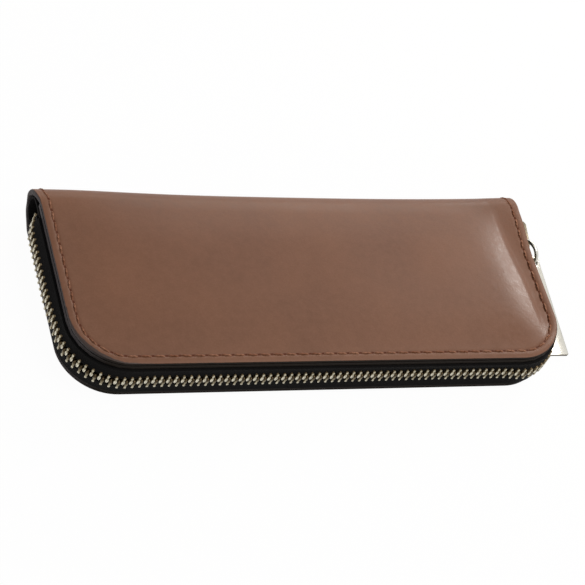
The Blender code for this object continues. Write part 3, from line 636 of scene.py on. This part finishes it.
def sheetShape(insets, level, lift, bendRadius, step, past=0.0):
    # the face of one panel with its bend and half of the spine's wall, as the cover has them
    shape = bmesh.new()
    backLine = bendY + past
    start = Vector((-case["halfLength"], backLine, level))
    section = chain(shape, [start + Vector((inset, 0, 0)) for inset in insets])
    sweep(shape, section, edgeRuns(insets[-1], past), step)
    inner = [
        e for e in shape.edges
        if all(abs(v.co.x + cornerX) < near and v.co.y > cornerY - near for v in e.verts)
    ]
    across = [(Vector((-cornerX, 0, 0)), 0.0, 2 * cornerX, 0)]
    sweep(shape, inner, across, step)
    weld(shape)
    back = [e for e in shape.edges if all(v.co.y > backLine - near for v in e.verts)]
    for vert in shape.verts:
        vert.co.z += lift(vert.co.x, vert.co.y) * swell(backLine - vert.co.y, hide["bendFade"])
    centre = Vector((0, backLine, level - bendRadius))
    bent = spin(shape, back, 12, centre, angle=-math.pi / 2)
    spin(shape, bent, 3, travel=up * (middle - centre.z) / 3)
    faceOut(shape)
    if max(shape.faces, key=lambda f: f.calc_center_median().z).normal.z < 0:
        bmesh.ops.reverse_faces(shape, faces=shape.faces)
    return shape


def roundRim(shape):
    # rounds the hide's free edges, but not where the halves meet
    free = [
        e for e in sharpEdges(shape, 60)
        if not all(abs(v.co.z - middle) < 10 * near for v in e.verts)
    ]
    bevelEdges(shape, free, hide["rimRound"], 4)


# how far the edge paint reaches up over the rim, in mm: most at the left corner
skive = {"least": 0.1, "most": 1.1, "leftSpread": 13 * mm, "rightSpread": 11 * mm, "rightShare": 0.3}


def skiveAt(place):
    reach = case["corner"] * math.sqrt(0.5)

    def nearness(cornerSide, spread):
        away = math.hypot(place.x - cornerSide * (cornerX + reach), place.y - cornerY + reach)
        return math.exp(-((away / spread) ** 2))

    right = skive["rightShare"] * nearness(1, skive["rightSpread"])
    return skive["least"] + skive["most"] * (nearness(-1, skive["leftSpread"]) + right)


def markSheet(shape):
    # what the leather's paint reads, all in mm but the painted shade beside the ridge, which is a share
    names = ("inset", "along", "skive", "ridgeShade")
    inset, along, reach, ridgeShade = [shape.verts.layers.float.new(name) for name in names]
    for vert in shape.verts:
        flat = min(vert.co.y, bendY)
        vert[inset] = insetAt(vert.co.x, flat) / mm
        vert[along] = alongEdge(*vert.co) / mm
        vert[reach] = skiveAt(vert.co)
        vert[ridgeShade] = ridgeShadeAt(vert.co)


def paintEdges(shape):
    # cut edges and the flesh side are dark
    edgeWidth, steep = 0.9 * mm, 0.70
    shape.normal_update()
    for face in shape.faces:
        place = face.calc_center_median()
        nearEdge = insetAt(place.x, min(place.y, bendY)) < edgeWidth
        flat = place.y < bendY
        sideways = math.hypot(face.normal.x, face.normal.y) if flat else abs(face.normal.x)
        outwards = up if flat else Vector((0, place.y - bendY, max(place.z - bendZ, 0)))
        inward = face.normal.dot(outwards) < 0
        face.material_index = 1 if inward or nearEdge and sideways > steep else 0


# the soft back sags between its stiff ends and stands out a little at both of them
softBack = {
    "leftEnd": 78,  # x, y and z are in mm here, each pair the start and the end of a change
    "rightEnd": 92,
    "panelY": (14, 32),
    "panelShare": 0.35,
    "bendY": (30, 37),
    "height": (0, 12),
    "drop": 1.15 * mm,
    "drawIn": 0.65 * mm,
    "flare": ((72, 90), (10, 30), (8, 15)),  # the right end, in x, y and z
    "flareOut": 1.3 * mm,
    "flareUp": 0.5 * mm,
    "lip": ((78, 90), (31, 37)),  # the left end, in -x and y
    "lipTop": (5, 12),
    "lipFoot": (0, 5),
    "lipOut": 0.9 * mm,
    "lipIn": 0.4 * mm,
}


def settle(shape):
    for vert in shape.verts:
        x, y, z = vert.co / mm
        droop = ease(1 - (x / softBack["leftEnd" if x < 0 else "rightEnd"]) ** 2, -0.1, 1.1)
        droop *= ease(z, *softBack["height"])
        bend = ease(y, *softBack["bendY"])
        share = softBack["panelShare"]
        panel = share * ease(y, *softBack["panelY"]) + (1 - share) * bend
        flare = spanned((x, y, z), *softBack["flare"])
        lip = softBack["lipOut"] * ease(z, *softBack["lipTop"])
        lip -= softBack["lipIn"] * (1 - ease(z, *softBack["lipFoot"]))
        lip *= spanned((-x, y), *softBack["lip"])
        vert.co.x += softBack["flareOut"] * flare - lip
        vert.co.y -= softBack["drawIn"] * droop * bend
        vert.co.z += softBack["flareUp"] * flare - softBack["drop"] * droop * panel


def makeHide(upper):
    lift = coverLift if upper else baseLift
    insets = [inset * mm for inset in hide["insets"]]
    shape = sheetShape(insets, case["thick"], lift, case["bend"], hide["step"])
    thicken(shape, hide["thick"])
    faceOut(shape)
    roundRim(shape)
    markSheet(shape)
    paintEdges(shape)
    hemBend(shape)
    addBendStitches(shape)
    if not upper:
        mirrorLevel(shape)
        for vert in shape.verts:
            vert.co.z = max(vert.co.z, 0)  # nothing goes under the table
    settle(shape)
    body, stands = panelNodes(upper, "leather")
    made = finishShape(body + "Hide", shape, ["leather", "edge", "thread"], stands=stands)
    wrapBend(made, upper, hide["turn"])


def hemBend(shape):
    # the hide's cut edge is thicker over the top of the bend, where it is folded in
    for vert in shape.verts:
        spoke = Vector((0, vert.co.y - bendY, vert.co.z - bendZ))
        depth = min(max((case["bend"] - spoke.length) / hide["thick"], 0), 1)
        share = ease(spoke.y, *hide["hemY"]) * ease(spoke.z, *hide["hemZ"])
        if share > 0 and vert.co.z > middle:
            vert.co -= spoke.normalized() * hide["hem"] * depth * share


def panelNodes(upper, layer):
    # the panel's body, and the nodes of a layer that its sheet stands for
    return ("cover", ["cover_" + layer, "spine_" + layer]) if upper else ("base", ["base_" + layer])


def wrapBend(piece, upper, turn):
    # the bend's leather or cloth is baked where it stands; the turn's levels are worked out, but nothing
    # uses them
    panel, low = (Vector((0, y * mm, z * mm)) for y, z in turn)
    if upper:
        low.z, panel.z = case["thick"] - low.z, case["thick"] - panel.z
        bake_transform(piece)
    else:
        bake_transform(piece)


# stitches
stitch = {
    "long": 4.05 * mm,
    "radius": 0.34 * mm,
    "plies": (1, 1.15, 0.82),  # the section is pinched, so that its turning shows
    "twist": 2.6 * math.pi,
    "taper": 0.55,
    "lean": 0.10,  # slant across the seam's line
    "sink": 0.46 * mm,
    "proud": 0.13 * mm,
    "baseSink": 0.33 * mm,  # the base lies on its stitches, which are drawn in deeper
    "wander": 0.10,  # how far a stitch may turn from the seam's line
    "wanderRate": 0.17 / mm,
    "clear": 2.4 * mm,  # the last stitch of the flat keeps this far from the bend
    "sides": 6,
    "rings": 8,
}


def stitchShape():
    # two plies laid round each other, with the ends drawn into the hide
    shape = bmesh.new()
    made = bmesh.ops.create_circle(
        shape, radius=stitch["radius"], segments=stitch["sides"],
        matrix=Matrix.Rotation(math.pi / 2, 4, "Y"),
    )
    bmesh.ops.scale(shape, vec=stitch["plies"], verts=made["verts"])
    bmesh.ops.translate(shape, vec=(-stitch["long"] / 2, 0, 0), verts=made["verts"])
    travel = (stitch["long"] / stitch["rings"], 0, 0)
    spin(shape, shape.edges[:], stitch["rings"], angle=stitch["twist"], travel=travel)
    bmesh.ops.holes_fill(shape, edges=shape.edges)
    for vert in shape.verts:
        share = abs(vert.co.x) / (stitch["long"] / 2)
        taper = 1 - stitch["taper"] * share**4
        vert.co.y = vert.co.y * taper + stitch["lean"] * vert.co.x
        vert.co.z = vert.co.z * taper + stitch["proud"] - stitch["sink"] * share**4
    faceOut(shape)
    return shape


def repeatShape(pattern, places):
    # copies a small shape to many places
    whole = bmesh.new()
    for place in places:
        before = len(whole.verts)
        addShape(whole, pattern)
        whole.verts.ensure_lookup_table()
        bmesh.ops.transform(whole, matrix=place, verts=whole.verts[before:])
    pattern.free()
    faceOut(whole)
    whole.normal_update()
    return whole


def addShape(whole, part):
    mesh = bpy.data.meshes.new("part")
    part.to_mesh(mesh)
    whole.from_mesh(mesh)
    bpy.data.meshes.remove(mesh)


def standing(point, heading, level, flip=False):
    # a frame on a route: x along it, y outwards, z up, or down for the other side
    high = -up if flip else up
    return placed((aheadAt(heading), outwardAt(heading), high), (point.x, point.y, level))


def stitchDistances(overBend):
    # middles of the stitches, each between two holes, from the spine's middle round to it again
    pitch = hide["pitch"] * mm
    spine = case["bend"] * math.pi / 2 + middle - case["bend"]
    found = []
    for number in range(-math.floor(spine / pitch), math.floor((seamLength + spine) / pitch)):
        distance = (number + 0.5) * pitch
        flat = 0 < distance < seamLength - stitch["clear"]
        if flat != overBend:
            found.append(distance)
    return found


def addBendStitches(shape):
    # those over the bend belong to the hide's own mesh, so that they bend with it
    side = case["halfLength"] - seamInset
    places = []
    for distance in stitchDistances(True):
        left = distance < 0
        arc = -distance if left else distance - seamLength
        angle = min(max(arc / case["bend"], 0), math.pi / 2)
        outward = Vector((0, math.sin(angle), math.cos(angle)))
        ahead = Vector((0, math.cos(angle), -math.sin(angle)))
        past = arc - angle * case["bend"]
        place = Vector((-side if left else side, bendY, bendZ))
        place += outward * (case["bend"] - rimFall(seamInset)) + ahead * past
        places.append(placed((ahead, outward.cross(ahead), outward), place))
    more = repeatShape(stitchShape(), places)
    for face in more.faces:
        face.material_index = 2
    addShape(shape, more)
    more.free()


def makeStitches(upper):
    runs = edgeRuns(seamInset)
    drop = rimFall(seamInset)
    level = case["thick"] - drop if upper else drop + stitch["baseSink"]
    places = []
    for distance in stitchDistances(False):
        point, heading = walk(runs, distance)
        heading += stitch["wander"] * noise.noise(Vector((distance * stitch["wanderRate"], 3.1, 0)))
        places.append(standing(point, heading, level, flip=not upper))
    shape = repeatShape(stitchShape(), places)
    settle(shape)
    body = "cover" if upper else "base"
    finishShape(body + "Stitches", shape, ["thread"], body, smooth=60)


# the zip's route in plan, from the end that curls into the case to the slider's end
zipper = {
    "inset": -0.55 * mm,
    "curlRadius": 6.0 * mm,
    "curlTurn": math.radians(65),
    "curlStart": 5.6 * mm,
    "curlTail": 3.4 * mm,
    "overrun": 2.6 * mm,  # past the line where the spine's bend starts, at the slider's end
    "pitch": 2.54 * mm,
    "thick": 2.4 * mm,
    "stop": 1.7 * mm,  # the teeth start twice this far along, past the bottom stop
    "sliderTail": 12.4 * mm,  # from that line back to the slider's near end
    "insideSlider": 6.2 * mm,  # how far the rows of teeth run into the slider
}


def zipRoute():
    side = case["halfLength"] - zipper["inset"]
    front = case["halfWidth"] - zipper["inset"]
    radius = case["corner"] - zipper["inset"]
    turn = zipper["curlTurn"]
    heading = 1.5 * math.pi - turn
    top = bendY - zipper["curlStart"]
    tail = aheadAt(heading) * zipper["curlTail"]
    swing = zipper["curlRadius"] * Vector((1 - math.cos(turn), math.sin(turn), 0))
    start = Vector((-side, top, 0)) + swing - tail
    quarter = (radius * math.pi / 2, math.pi / 2)
    return runsFrom(start, heading, [
        (zipper["curlTail"], 0),
        (zipper["curlRadius"] * turn, turn),
        (top + front - radius, 0),
        quarter,
        (2 * (side - radius), 0),
        quarter,
        (front - radius + bendY + zipper["overrun"], 0),
    ])


zipRuns = zipRoute()

tape = {
    "half": 0.25 * mm,
    "foot": 3.2 * mm,  # level of the flange above the case's underside
    "flange": 8.0 * mm,
    "edge": 6.35 * mm,  # where the tape swells into its cord
    "cord": 0.58 * mm,
    "trim": 2.2 * mm,  # the flange stops this far before the bend
    "wallFoot": 4.95 * mm,  # where the curled tail has no flange, its wall starts here
    "foldUp": 0.7 * mm,  # the fold between wall and flange
    "foldIn": 0.3 * mm,
}

# the soft sides let the chain bow: out at the left end, and in along the front; x, y and z in mm
bow = {
    "out": 1.1 * mm,
    "outStart": ((80, 86), (-29, -24)),  # in -x and -y
    "outEnd": (-2, 20),
    "in": 0.55 * mm,
    "inMore": 0.65 * mm,
    "moreX": (-60, 50),
    "inStart": ((-78, -62), (25, 30)),  # in x and -y
    "inEnd": (66, 80),
    "held": (2.75, 4.4),  # above and below the chain's middle, where the tape is held again
}


def cordPoints():
    # the tape's edge from outside to inside, round its cord
    centre = tape["edge"] + 0.8 * tape["cord"]
    turns = [math.radians(angle) for angle in range(-45, 226, 30)]
    return [(tape["cord"] * math.cos(turn), centre + tape["cord"] * math.sin(turn)) for turn in turns]


def sectionLoop(shape, run, profile):
    point, heading = alongRun(run, 0)
    outward = outwardAt(heading)
    dots = [point + outward * offset + up * height for offset, height in profile]
    return chain(shape, dots, closed=True)


def markRoute(shape, runs):
    # distance along the route and height, in mm, for the weave
    along = shape.verts.layers.float.new("along")
    height = shape.verts.layers.float.new("height")
    starts = [routeLength(runs, index) for index in range(len(runs))]
    for vert in shape.verts:
        nearest = min(offRun(run, before, vert.co) for run, before in zip(runs, starts))
        vert[along] = nearest[1] / mm
        vert[height] = vert.co.z / mm


def bowAt(place):
    x, y, z = place / mm
    left = bow["out"] * spanned((-x, -y), *bow["outStart"]) * (1 - ease(-y, *bow["outEnd"]))
    front = bow["in"] + bow["inMore"] * ease(x, *bow["moreX"])
    front *= spanned((x, -y), *bow["inStart"]) * (1 - ease(x, *bow["inEnd"]))
    return Vector((-left, front, 0)) * (1 - ease(abs(z - middle / mm), *bow["held"]))


def offRun(run, before, place):
    # how far a place is from a run, and the distance along the route to its nearest point
    start, heading, length, turn = run
    if not turn:
        distance = min(max((place - start).dot(aheadAt(heading)), 0), length)
    else:
        radius = length / turn
        centre = start - outwardAt(heading) * radius
        angle = math.atan2(place.y - centre.y, place.x - centre.x) - (heading - math.pi / 2)
        angle = (angle + math.pi) % (2 * math.pi) - math.pi
        distance = min(max(angle, 0), turn) * radius
    point = alongRun(run, distance)[0]
    return math.hypot(place.x - point.x, place.y - point.y), before + distance


def makeTape(upper):
    half, foot, flange, step = tape["half"], tape["foot"], tape["flange"], 2 * mm
    shape = bmesh.new()
    wall = [(half, tape["wallFoot"])] + cordPoints() + [(-half, tape["wallFoot"])]
    sweep(shape, sectionLoop(shape, zipRuns[0], wall), zipRuns[:2], step, 0.12)
    top = foot + 2 * half
    sewn = [(half, foot)] + cordPoints() + [(-half, foot + tape["foldUp"])]
    sewn += [(-half - tape["foldIn"], top), (-flange, top), (-flange, foot)]
    runs = list(zipRuns[2:])
    start, heading, length, turn = runs[-1]
    runs[-1] = (start, heading, length - zipper["overrun"] - tape["trim"], turn)
    sweep(shape, sectionLoop(shape, runs[0], sewn), runs, step, 0.1)
    bmesh.ops.holes_fill(shape, edges=shape.edges)
    start, heading = alongRun(runs[-1], runs[-1][2])
    tail = (start, heading, zipper["overrun"] + tape["trim"], 0)
    narrow = [(half, foot)] + cordPoints() + [(-half, foot)]
    sweep(shape, sectionLoop(shape, tail, narrow), [tail], step / 2)
    bmesh.ops.holes_fill(shape, edges=shape.edges)
    faceOut(shape)
    markRoute(shape, zipRuns)
    for vert in shape.verts:
        vert.co += bowAt(vert.co)
    if upper:
        mirrorLevel(shape)
    side, body = ("upper", "cover") if upper else ("lower", "base")
    finishShape(side + "Tape", shape, ["tape"], body, ["zip_tape_" + side], smooth=50)


# teeth: seen from outside, a rounded foot, a waist and a head that hooks over its neighbour
tooth = {
    # one side from its foot to its head, as half widths and distances from the chain's middle, in mm
    "side": (
        (0.28, 2.74), (0.44, 2.45), (0.42, 2.10), (0.30, 1.75), (0.28, 1.35),
        (0.50, 0.95), (0.57, 0.50), (0.52, -0.10), (0.26, -0.72),
    ),
    "roundness": 0.16 * mm,
    "room": 0.9 * mm,  # the first tooth keeps this far from what lies before it
    # painted light on the face, by the distance from the chain's middle: the bright bands are a painted
    # highlight, and values below zero are painted shade
    "upperPaintedLight": (
        (2.74, 0.3), (2.30, 0.6), (1.75, 0.2), (1.10, 0.3), (0.60, 1.0), (0.0, 1.0), (-0.72, 0.3),
    ),
    "lowerPaintedLight": (
        (2.74, 0.2), (2.30, 0.7), (1.75, 0.3), (1.10, -0.1), (0.60, -0.5), (0.0, -0.9), (-0.72, -1.0),
    ),
}


def paintedLightAt(level, marks):
    for (high, first), (low, second) in zip(marks, marks[1:]):
        if level >= low:
            return second + (first - second) * min((level - low) / (high - low), 1)
    return marks[-1][1]


def toothShape(marks):
    shape = bmesh.new()
    half = zipper["thick"] / 2
    outline = list(tooth["side"]) + [(-x, z) for x, z in reversed(tooth["side"])]
    chain(shape, [(x * mm, -half, z * mm) for x, z in outline], closed=True)
    bmesh.ops.contextual_create(shape, geom=shape.edges)
    made = bmesh.ops.extrude_face_region(shape, geom=shape.faces[:])
    raised = [item for item in made["geom"] if isinstance(item, bmesh.types.BMVert)]
    bmesh.ops.translate(shape, vec=(0, 2 * half, 0), verts=raised)
    faceOut(shape)
    rims = [e for e in shape.edges if abs(e.verts[0].co.y - e.verts[1].co.y) < near]
    bevelEdges(shape, rims, tooth["roundness"], 1)
    paintedLight = shape.verts.layers.float.new("paintedLight")
    shape.normal_update()
    for vert in shape.verts:
        vert[paintedLight] = paintedLightAt(vert.co.z / mm, marks)
    for face in shape.faces:
        # the flanks take the shaded brass: painted shade between the teeth
        face.material_index = 0 if abs(face.normal.y) > 0.5 else 1
    return shape


def makeTeeth(upper, run, start, end):
    # a row between two distances along the zip, where the base's and the cover's teeth alternate
    side, body = ("upper", "cover") if upper else ("lower", "base")
    shift = zipper["pitch"] / 2 if upper else 0
    first = math.ceil((start + tooth["room"]) / zipper["pitch"])
    last = math.floor(end / zipper["pitch"]) - 1
    places = []
    for number in range(first, last + 1):
        point, heading = walk(zipRuns, number * zipper["pitch"] + shift)
        place = standing(point + bowAt(Vector((point.x, point.y, middle))), heading, middle)
        if not upper:
            place = place @ Matrix.Rotation(math.pi, 4, "Y")
        places.append(place)
    shape = repeatShape(toothShape(tooth[side + "PaintedLight"]), places)
    for face in shape.faces:
        if face.normal.z < -0.3:  # the undersides keep the plain brass, without the painted shade
            face.material_index = 0
    node = "zip_teeth_" + side + ("_side" if run else "")
    skins = ["brass", "shadedBrass"]
    finishShape(side + run + "Teeth", shape, skins, body, [node], smooth=50)


# hard parts: the CAD's own shape with its edges worked
def softened(name, node, skins, body, width, segments=2):
    sharp, level, facing = 22, 4, 0.975  # two angles in degrees, and how squarely a flat face looks up
    shape = bmesh.new()
    shape.from_mesh(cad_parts[node].data)
    weld(shape)
    limit = math.radians(level)
    bmesh.ops.dissolve_limit(shape, angle_limit=limit, verts=shape.verts, edges=shape.edges)
    bevelEdges(shape, sharpEdges(shape, sharp), width, segments)
    if len(skins) > 1:
        shape.normal_update()
        for face in shape.faces:
            face.material_index = 0 if abs(face.normal.z) > facing else 1
    finishShape(name, shape, skins, body, [node])


ring = {
    "radius": 4.2 * mm,
    "wire": 0.75 * mm,
    "swing": math.radians(15),
    "centre": (95.487, 18.993, 9.0),  # in mm, where it hangs in the slider's bridge
}


def makeRing():
    shape = bmesh.new()
    wire = Matrix.Translation((ring["radius"], 0, 0)) @ Matrix.Rotation(math.pi / 2, 4, "X")
    bmesh.ops.create_circle(shape, radius=ring["wire"], segments=16, matrix=wire)
    spin(shape, shape.edges[:], 48, axis=up, angle=2 * math.pi)
    weld(shape)
    faceOut(shape)
    way = outwardAt(ring["swing"])
    place = placed((way, up, way.cross(up)), Vector(ring["centre"]) * mm)
    bmesh.ops.transform(shape, matrix=place, verts=shape.verts)
    finishShape("ring", shape, ["nickel"], "pull_ring", ["pull_ring"])


# inside
lining = {
    "insets": (18.5, 15.0, 12.0, 9.5, 9.0, 8.5, 6.0, 4.2, 3.4, 3.0, 2.6, 1.9, 1.0, 0.05),
    "thick": 0.7 * mm,
    "bend": 4.2 * mm,
    "back": 1.5 * mm,  # how far past the hide's bend the lining goes on flat
    "turn": ((34.3, 4.3), (38.5, 8.5)),  # y and z in mm where the cloth's fold starts and ends
    "dip": 0.12 * mm,  # how far the seam draws the cloth in
    "dipHalf": 0.5 * mm,
    "step": 3 * mm,
}


def liningDip(x, y):
    away = (insetAt(x, y) - seamInset) / lining["dipHalf"]
    return lining["dip"] * math.exp(-(away**2))


def makeLining(upper):
    # built as the cover's sheet lying at the lining's depth, its face turned into the case
    level = case["thick"] - case["floor"]
    insets = [inset * mm for inset in lining["insets"]]
    shape = sheetShape(insets, level, liningDip, lining["bend"], lining["step"], lining["back"])
    thicken(shape, -lining["thick"])
    faceOut(shape)
    if not upper:
        mirrorLevel(shape)
    body, stands = panelNodes(upper, "lining")
    made = finishShape(body + "Lining", shape, ["suede"], stands=stands)
    wrapBend(made, upper, lining["turn"])


padding = {
    "level": 16.15 * mm,  # the sheet's underside, on the cover's board
    "least": 0.1 * mm,
    "gap": 0.25 * mm,  # left under the hide
}


def makePadding():
    # the foam sheet under the cover's hide, following the hide's underside
    shape = bmesh.new()
    low, high = (Vector(corner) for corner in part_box("cover_padding"))
    size = high - low
    bmesh.ops.create_grid(shape, x_segments=44, y_segments=16, size=0.5)
    bmesh.ops.scale(shape, vec=(size.x, size.y, 1), verts=shape.verts)
    bmesh.ops.translate(shape, vec=(0, (low.y + high.y) / 2, padding["level"]), verts=shape.verts)
    thicken(shape, padding["least"])
    weld(shape)
    faceOut(shape)
    for vert in shape.verts:
        if vert.normal.z > 0:
            thick = max(padding["least"], coverLift(vert.co.x, vert.co.y) - padding["gap"])
            vert.co.z = padding["level"] + thick
    made = finishShape("coverPadding", shape, ["foam"], "cover", ["cover_padding"])


print("painting")
for makePaint in (
    leatherPaint, edgePaint, boardPaint, threadPaint, tapePaint, suedePaint, strapPaint, foamPaint,
    brassPaint, shadedBrassPaint, nickelPaint, darkShadedNickelPaint, steelPaint,
):
    makePaint()

print("hide and stitches")
for upper in (True, False):
    makeHide(upper)
    makeStitches(upper)
    makeLining(upper)
    makeTape(upper)
makePadding()
for node in ("base_board", "cover_board"):
    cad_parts[node].data.materials.clear()
    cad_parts[node].data.materials.append(paints["board"].material)

print("zip")
sideStart = routeLength(zipRuns, 6)
sliderStart = routeLength(zipRuns) - zipper["overrun"] - zipper["sliderTail"]
for upper in (False, True):
    makeTeeth(upper, "", 2 * zipper["stop"], sideStart)
    makeTeeth(upper, "Side", sideStart, sliderStart + zipper["insideSlider"])
for name, node, body in (
    ("bottomStop", "bottom_stop", "base"),
    ("lowerTopStop", "top_stop_lower", "base"),
    ("upperTopStop", "top_stop_upper", "cover"),
):
    softened(name, node, ["brass"], body, 0.2 * mm)
softened("slider", "slider_body", ["darkShadedNickel"], "slider", 0.12 * mm)
makeRing()
# the plate's edges and bevels take the dark nickel: painted shade along its outline
softened("pull", "pull_plate", ["nickel", "darkShadedNickel"], "pull_plate", 0.30 * mm, 3)

print("inside")
for side in ("left", "right", "scissors"):
    softened(side + "Strap", "strap_" + side, ["strap"], "base", 0.14 * mm)
steelParts = {
    "scissors_lower_half": ("lowerBlade", "base", 0.30),
    "scissors_upper_half": ("upperBlade", "scissors_upper", 0.30),
    "scissors_screw": ("pivotScrew", "base", 0.15),
    "tweezers": ("tweezersPair", "base", 0.18),
    "nail_file": ("nailFile", "base", 0.20),
    "cuticle_pusher": ("cuticlePusher", "base", 0.10),
    "clipper_lower_jaw": ("clipperLowerJaw", "base", 0.20),
    "clipper_upper_jaw": ("clipperUpperJaw", "base", 0.20),
    "clipper_lever": ("clipperLever", "base", 0.25),
    "clipper_pin": ("clipperPin", "base", 0.12),
}
for node, (name, body, width) in steelParts.items():
    softened(name, node, ["steel"], body, width * mm)

print("studio")
studio = {
    "cameraAt": (-0.31288, -0.38203, 0.54404),
    "looking": (0.42473, 0.52723, -0.73596),
    "cameraUp": (0.00109, 0.81263, 0.58278),
    "lens": 131.9,
    "floorSize": 6.0,
    "floorWhite": 0.97,
    "world": 0.30,
}


def makeCamera():
    camera = bpy.data.objects.new("camera", bpy.data.cameras.new("camera"))
    bpy.context.scene.collection.objects.link(camera)
    back = -Vector(studio["looking"]).normalized()
    side = Vector(studio["cameraUp"]).cross(back).normalized()
    camera.matrix_world = placed((side, back.cross(side), back), studio["cameraAt"])
    camera.data.lens = studio["lens"]
    camera.data.clip_start = 0.01
    camera.data.clip_end = 50
    bpy.context.scene.camera = camera


def softbox(name, place, side, watts):
    lamp = bpy.data.objects.new(name, bpy.data.lights.new(name, "AREA"))
    bpy.context.scene.collection.objects.link(lamp)
    lamp.data.shape = "SQUARE"
    lamp.data.size = side
    lamp.data.energy = watts
    lamp.data.color = (1.0, 0.95, 0.90)
    lamp.location = place
    lamp.rotation_mode = "QUATERNION"
    lamp.rotation_quaternion = (-Vector(place)).to_track_quat("-Z", "Y")  # aimed at the case


def showWhite(nodes, plain, white, share, output):
    # white for what the camera and polished metal see, and the plain surface for the rest of the light
    rays = nodes.node("ShaderNodeLightPath", {}, {})
    seen = Signal(nodes, rays.outputs["Is Camera Ray"])
    for ray in ("Is Glossy Ray", "Is Transmission Ray"):
        seen = seen.maths("MAXIMUM", seen, Signal(nodes, rays.outputs[ray]))
    values = {0: seen * share, 1: plain.outputs[0], 2: white.outputs[0]}
    mix = nodes.node("ShaderNodeMixShader", {}, values)
    nodes.tree.links.new(mix.outputs[0], nodes.tree.nodes[output].inputs["Surface"])


def makeFloor():
    shape = bmesh.new()
    bmesh.ops.create_circle(shape, cap_ends=True, radius=studio["floorSize"], segments=64)
    paint = Paint("floor", "pale floor", (0.88, 0.88, 0.88), 0.9)
    glow = paint.node("ShaderNodeEmission", {}, {})
    showWhite(paint, paint.shader, glow, studio["floorWhite"], "Material Output")
    floor = finishShape("floor", shape, ["floor"])
    floor.location.z = -0.02 * mm


def makeWorld():
    world = bpy.data.worlds.new("studio")
    bpy.context.scene.world = world
    world.use_nodes = True
    nodes = Nodes(world.node_tree)
    plain = nodes.tree.nodes["Background"]
    plain.inputs["Strength"].default_value = studio["world"]
    plain.inputs["Color"].default_value = (1, 1, 1, 1)
    white = nodes.node("ShaderNodeBackground", {}, {"Color": (1, 1, 1, 1)})
    showWhite(nodes, plain, white, 1.0, "World Output")


makeCamera()
makeFloor()
makeWorld()
softbox("rightBox", (0.67, 0.46, 0.47), 0.18, 3.0)
softbox("backBox", (0.45, 0.85, 0.42), 0.4, 2.6)
softbox("topBox", (0.45, -0.15, 1.10), 0.6, 7.1)
bpy.context.scene.view_settings.view_transform = "Standard"
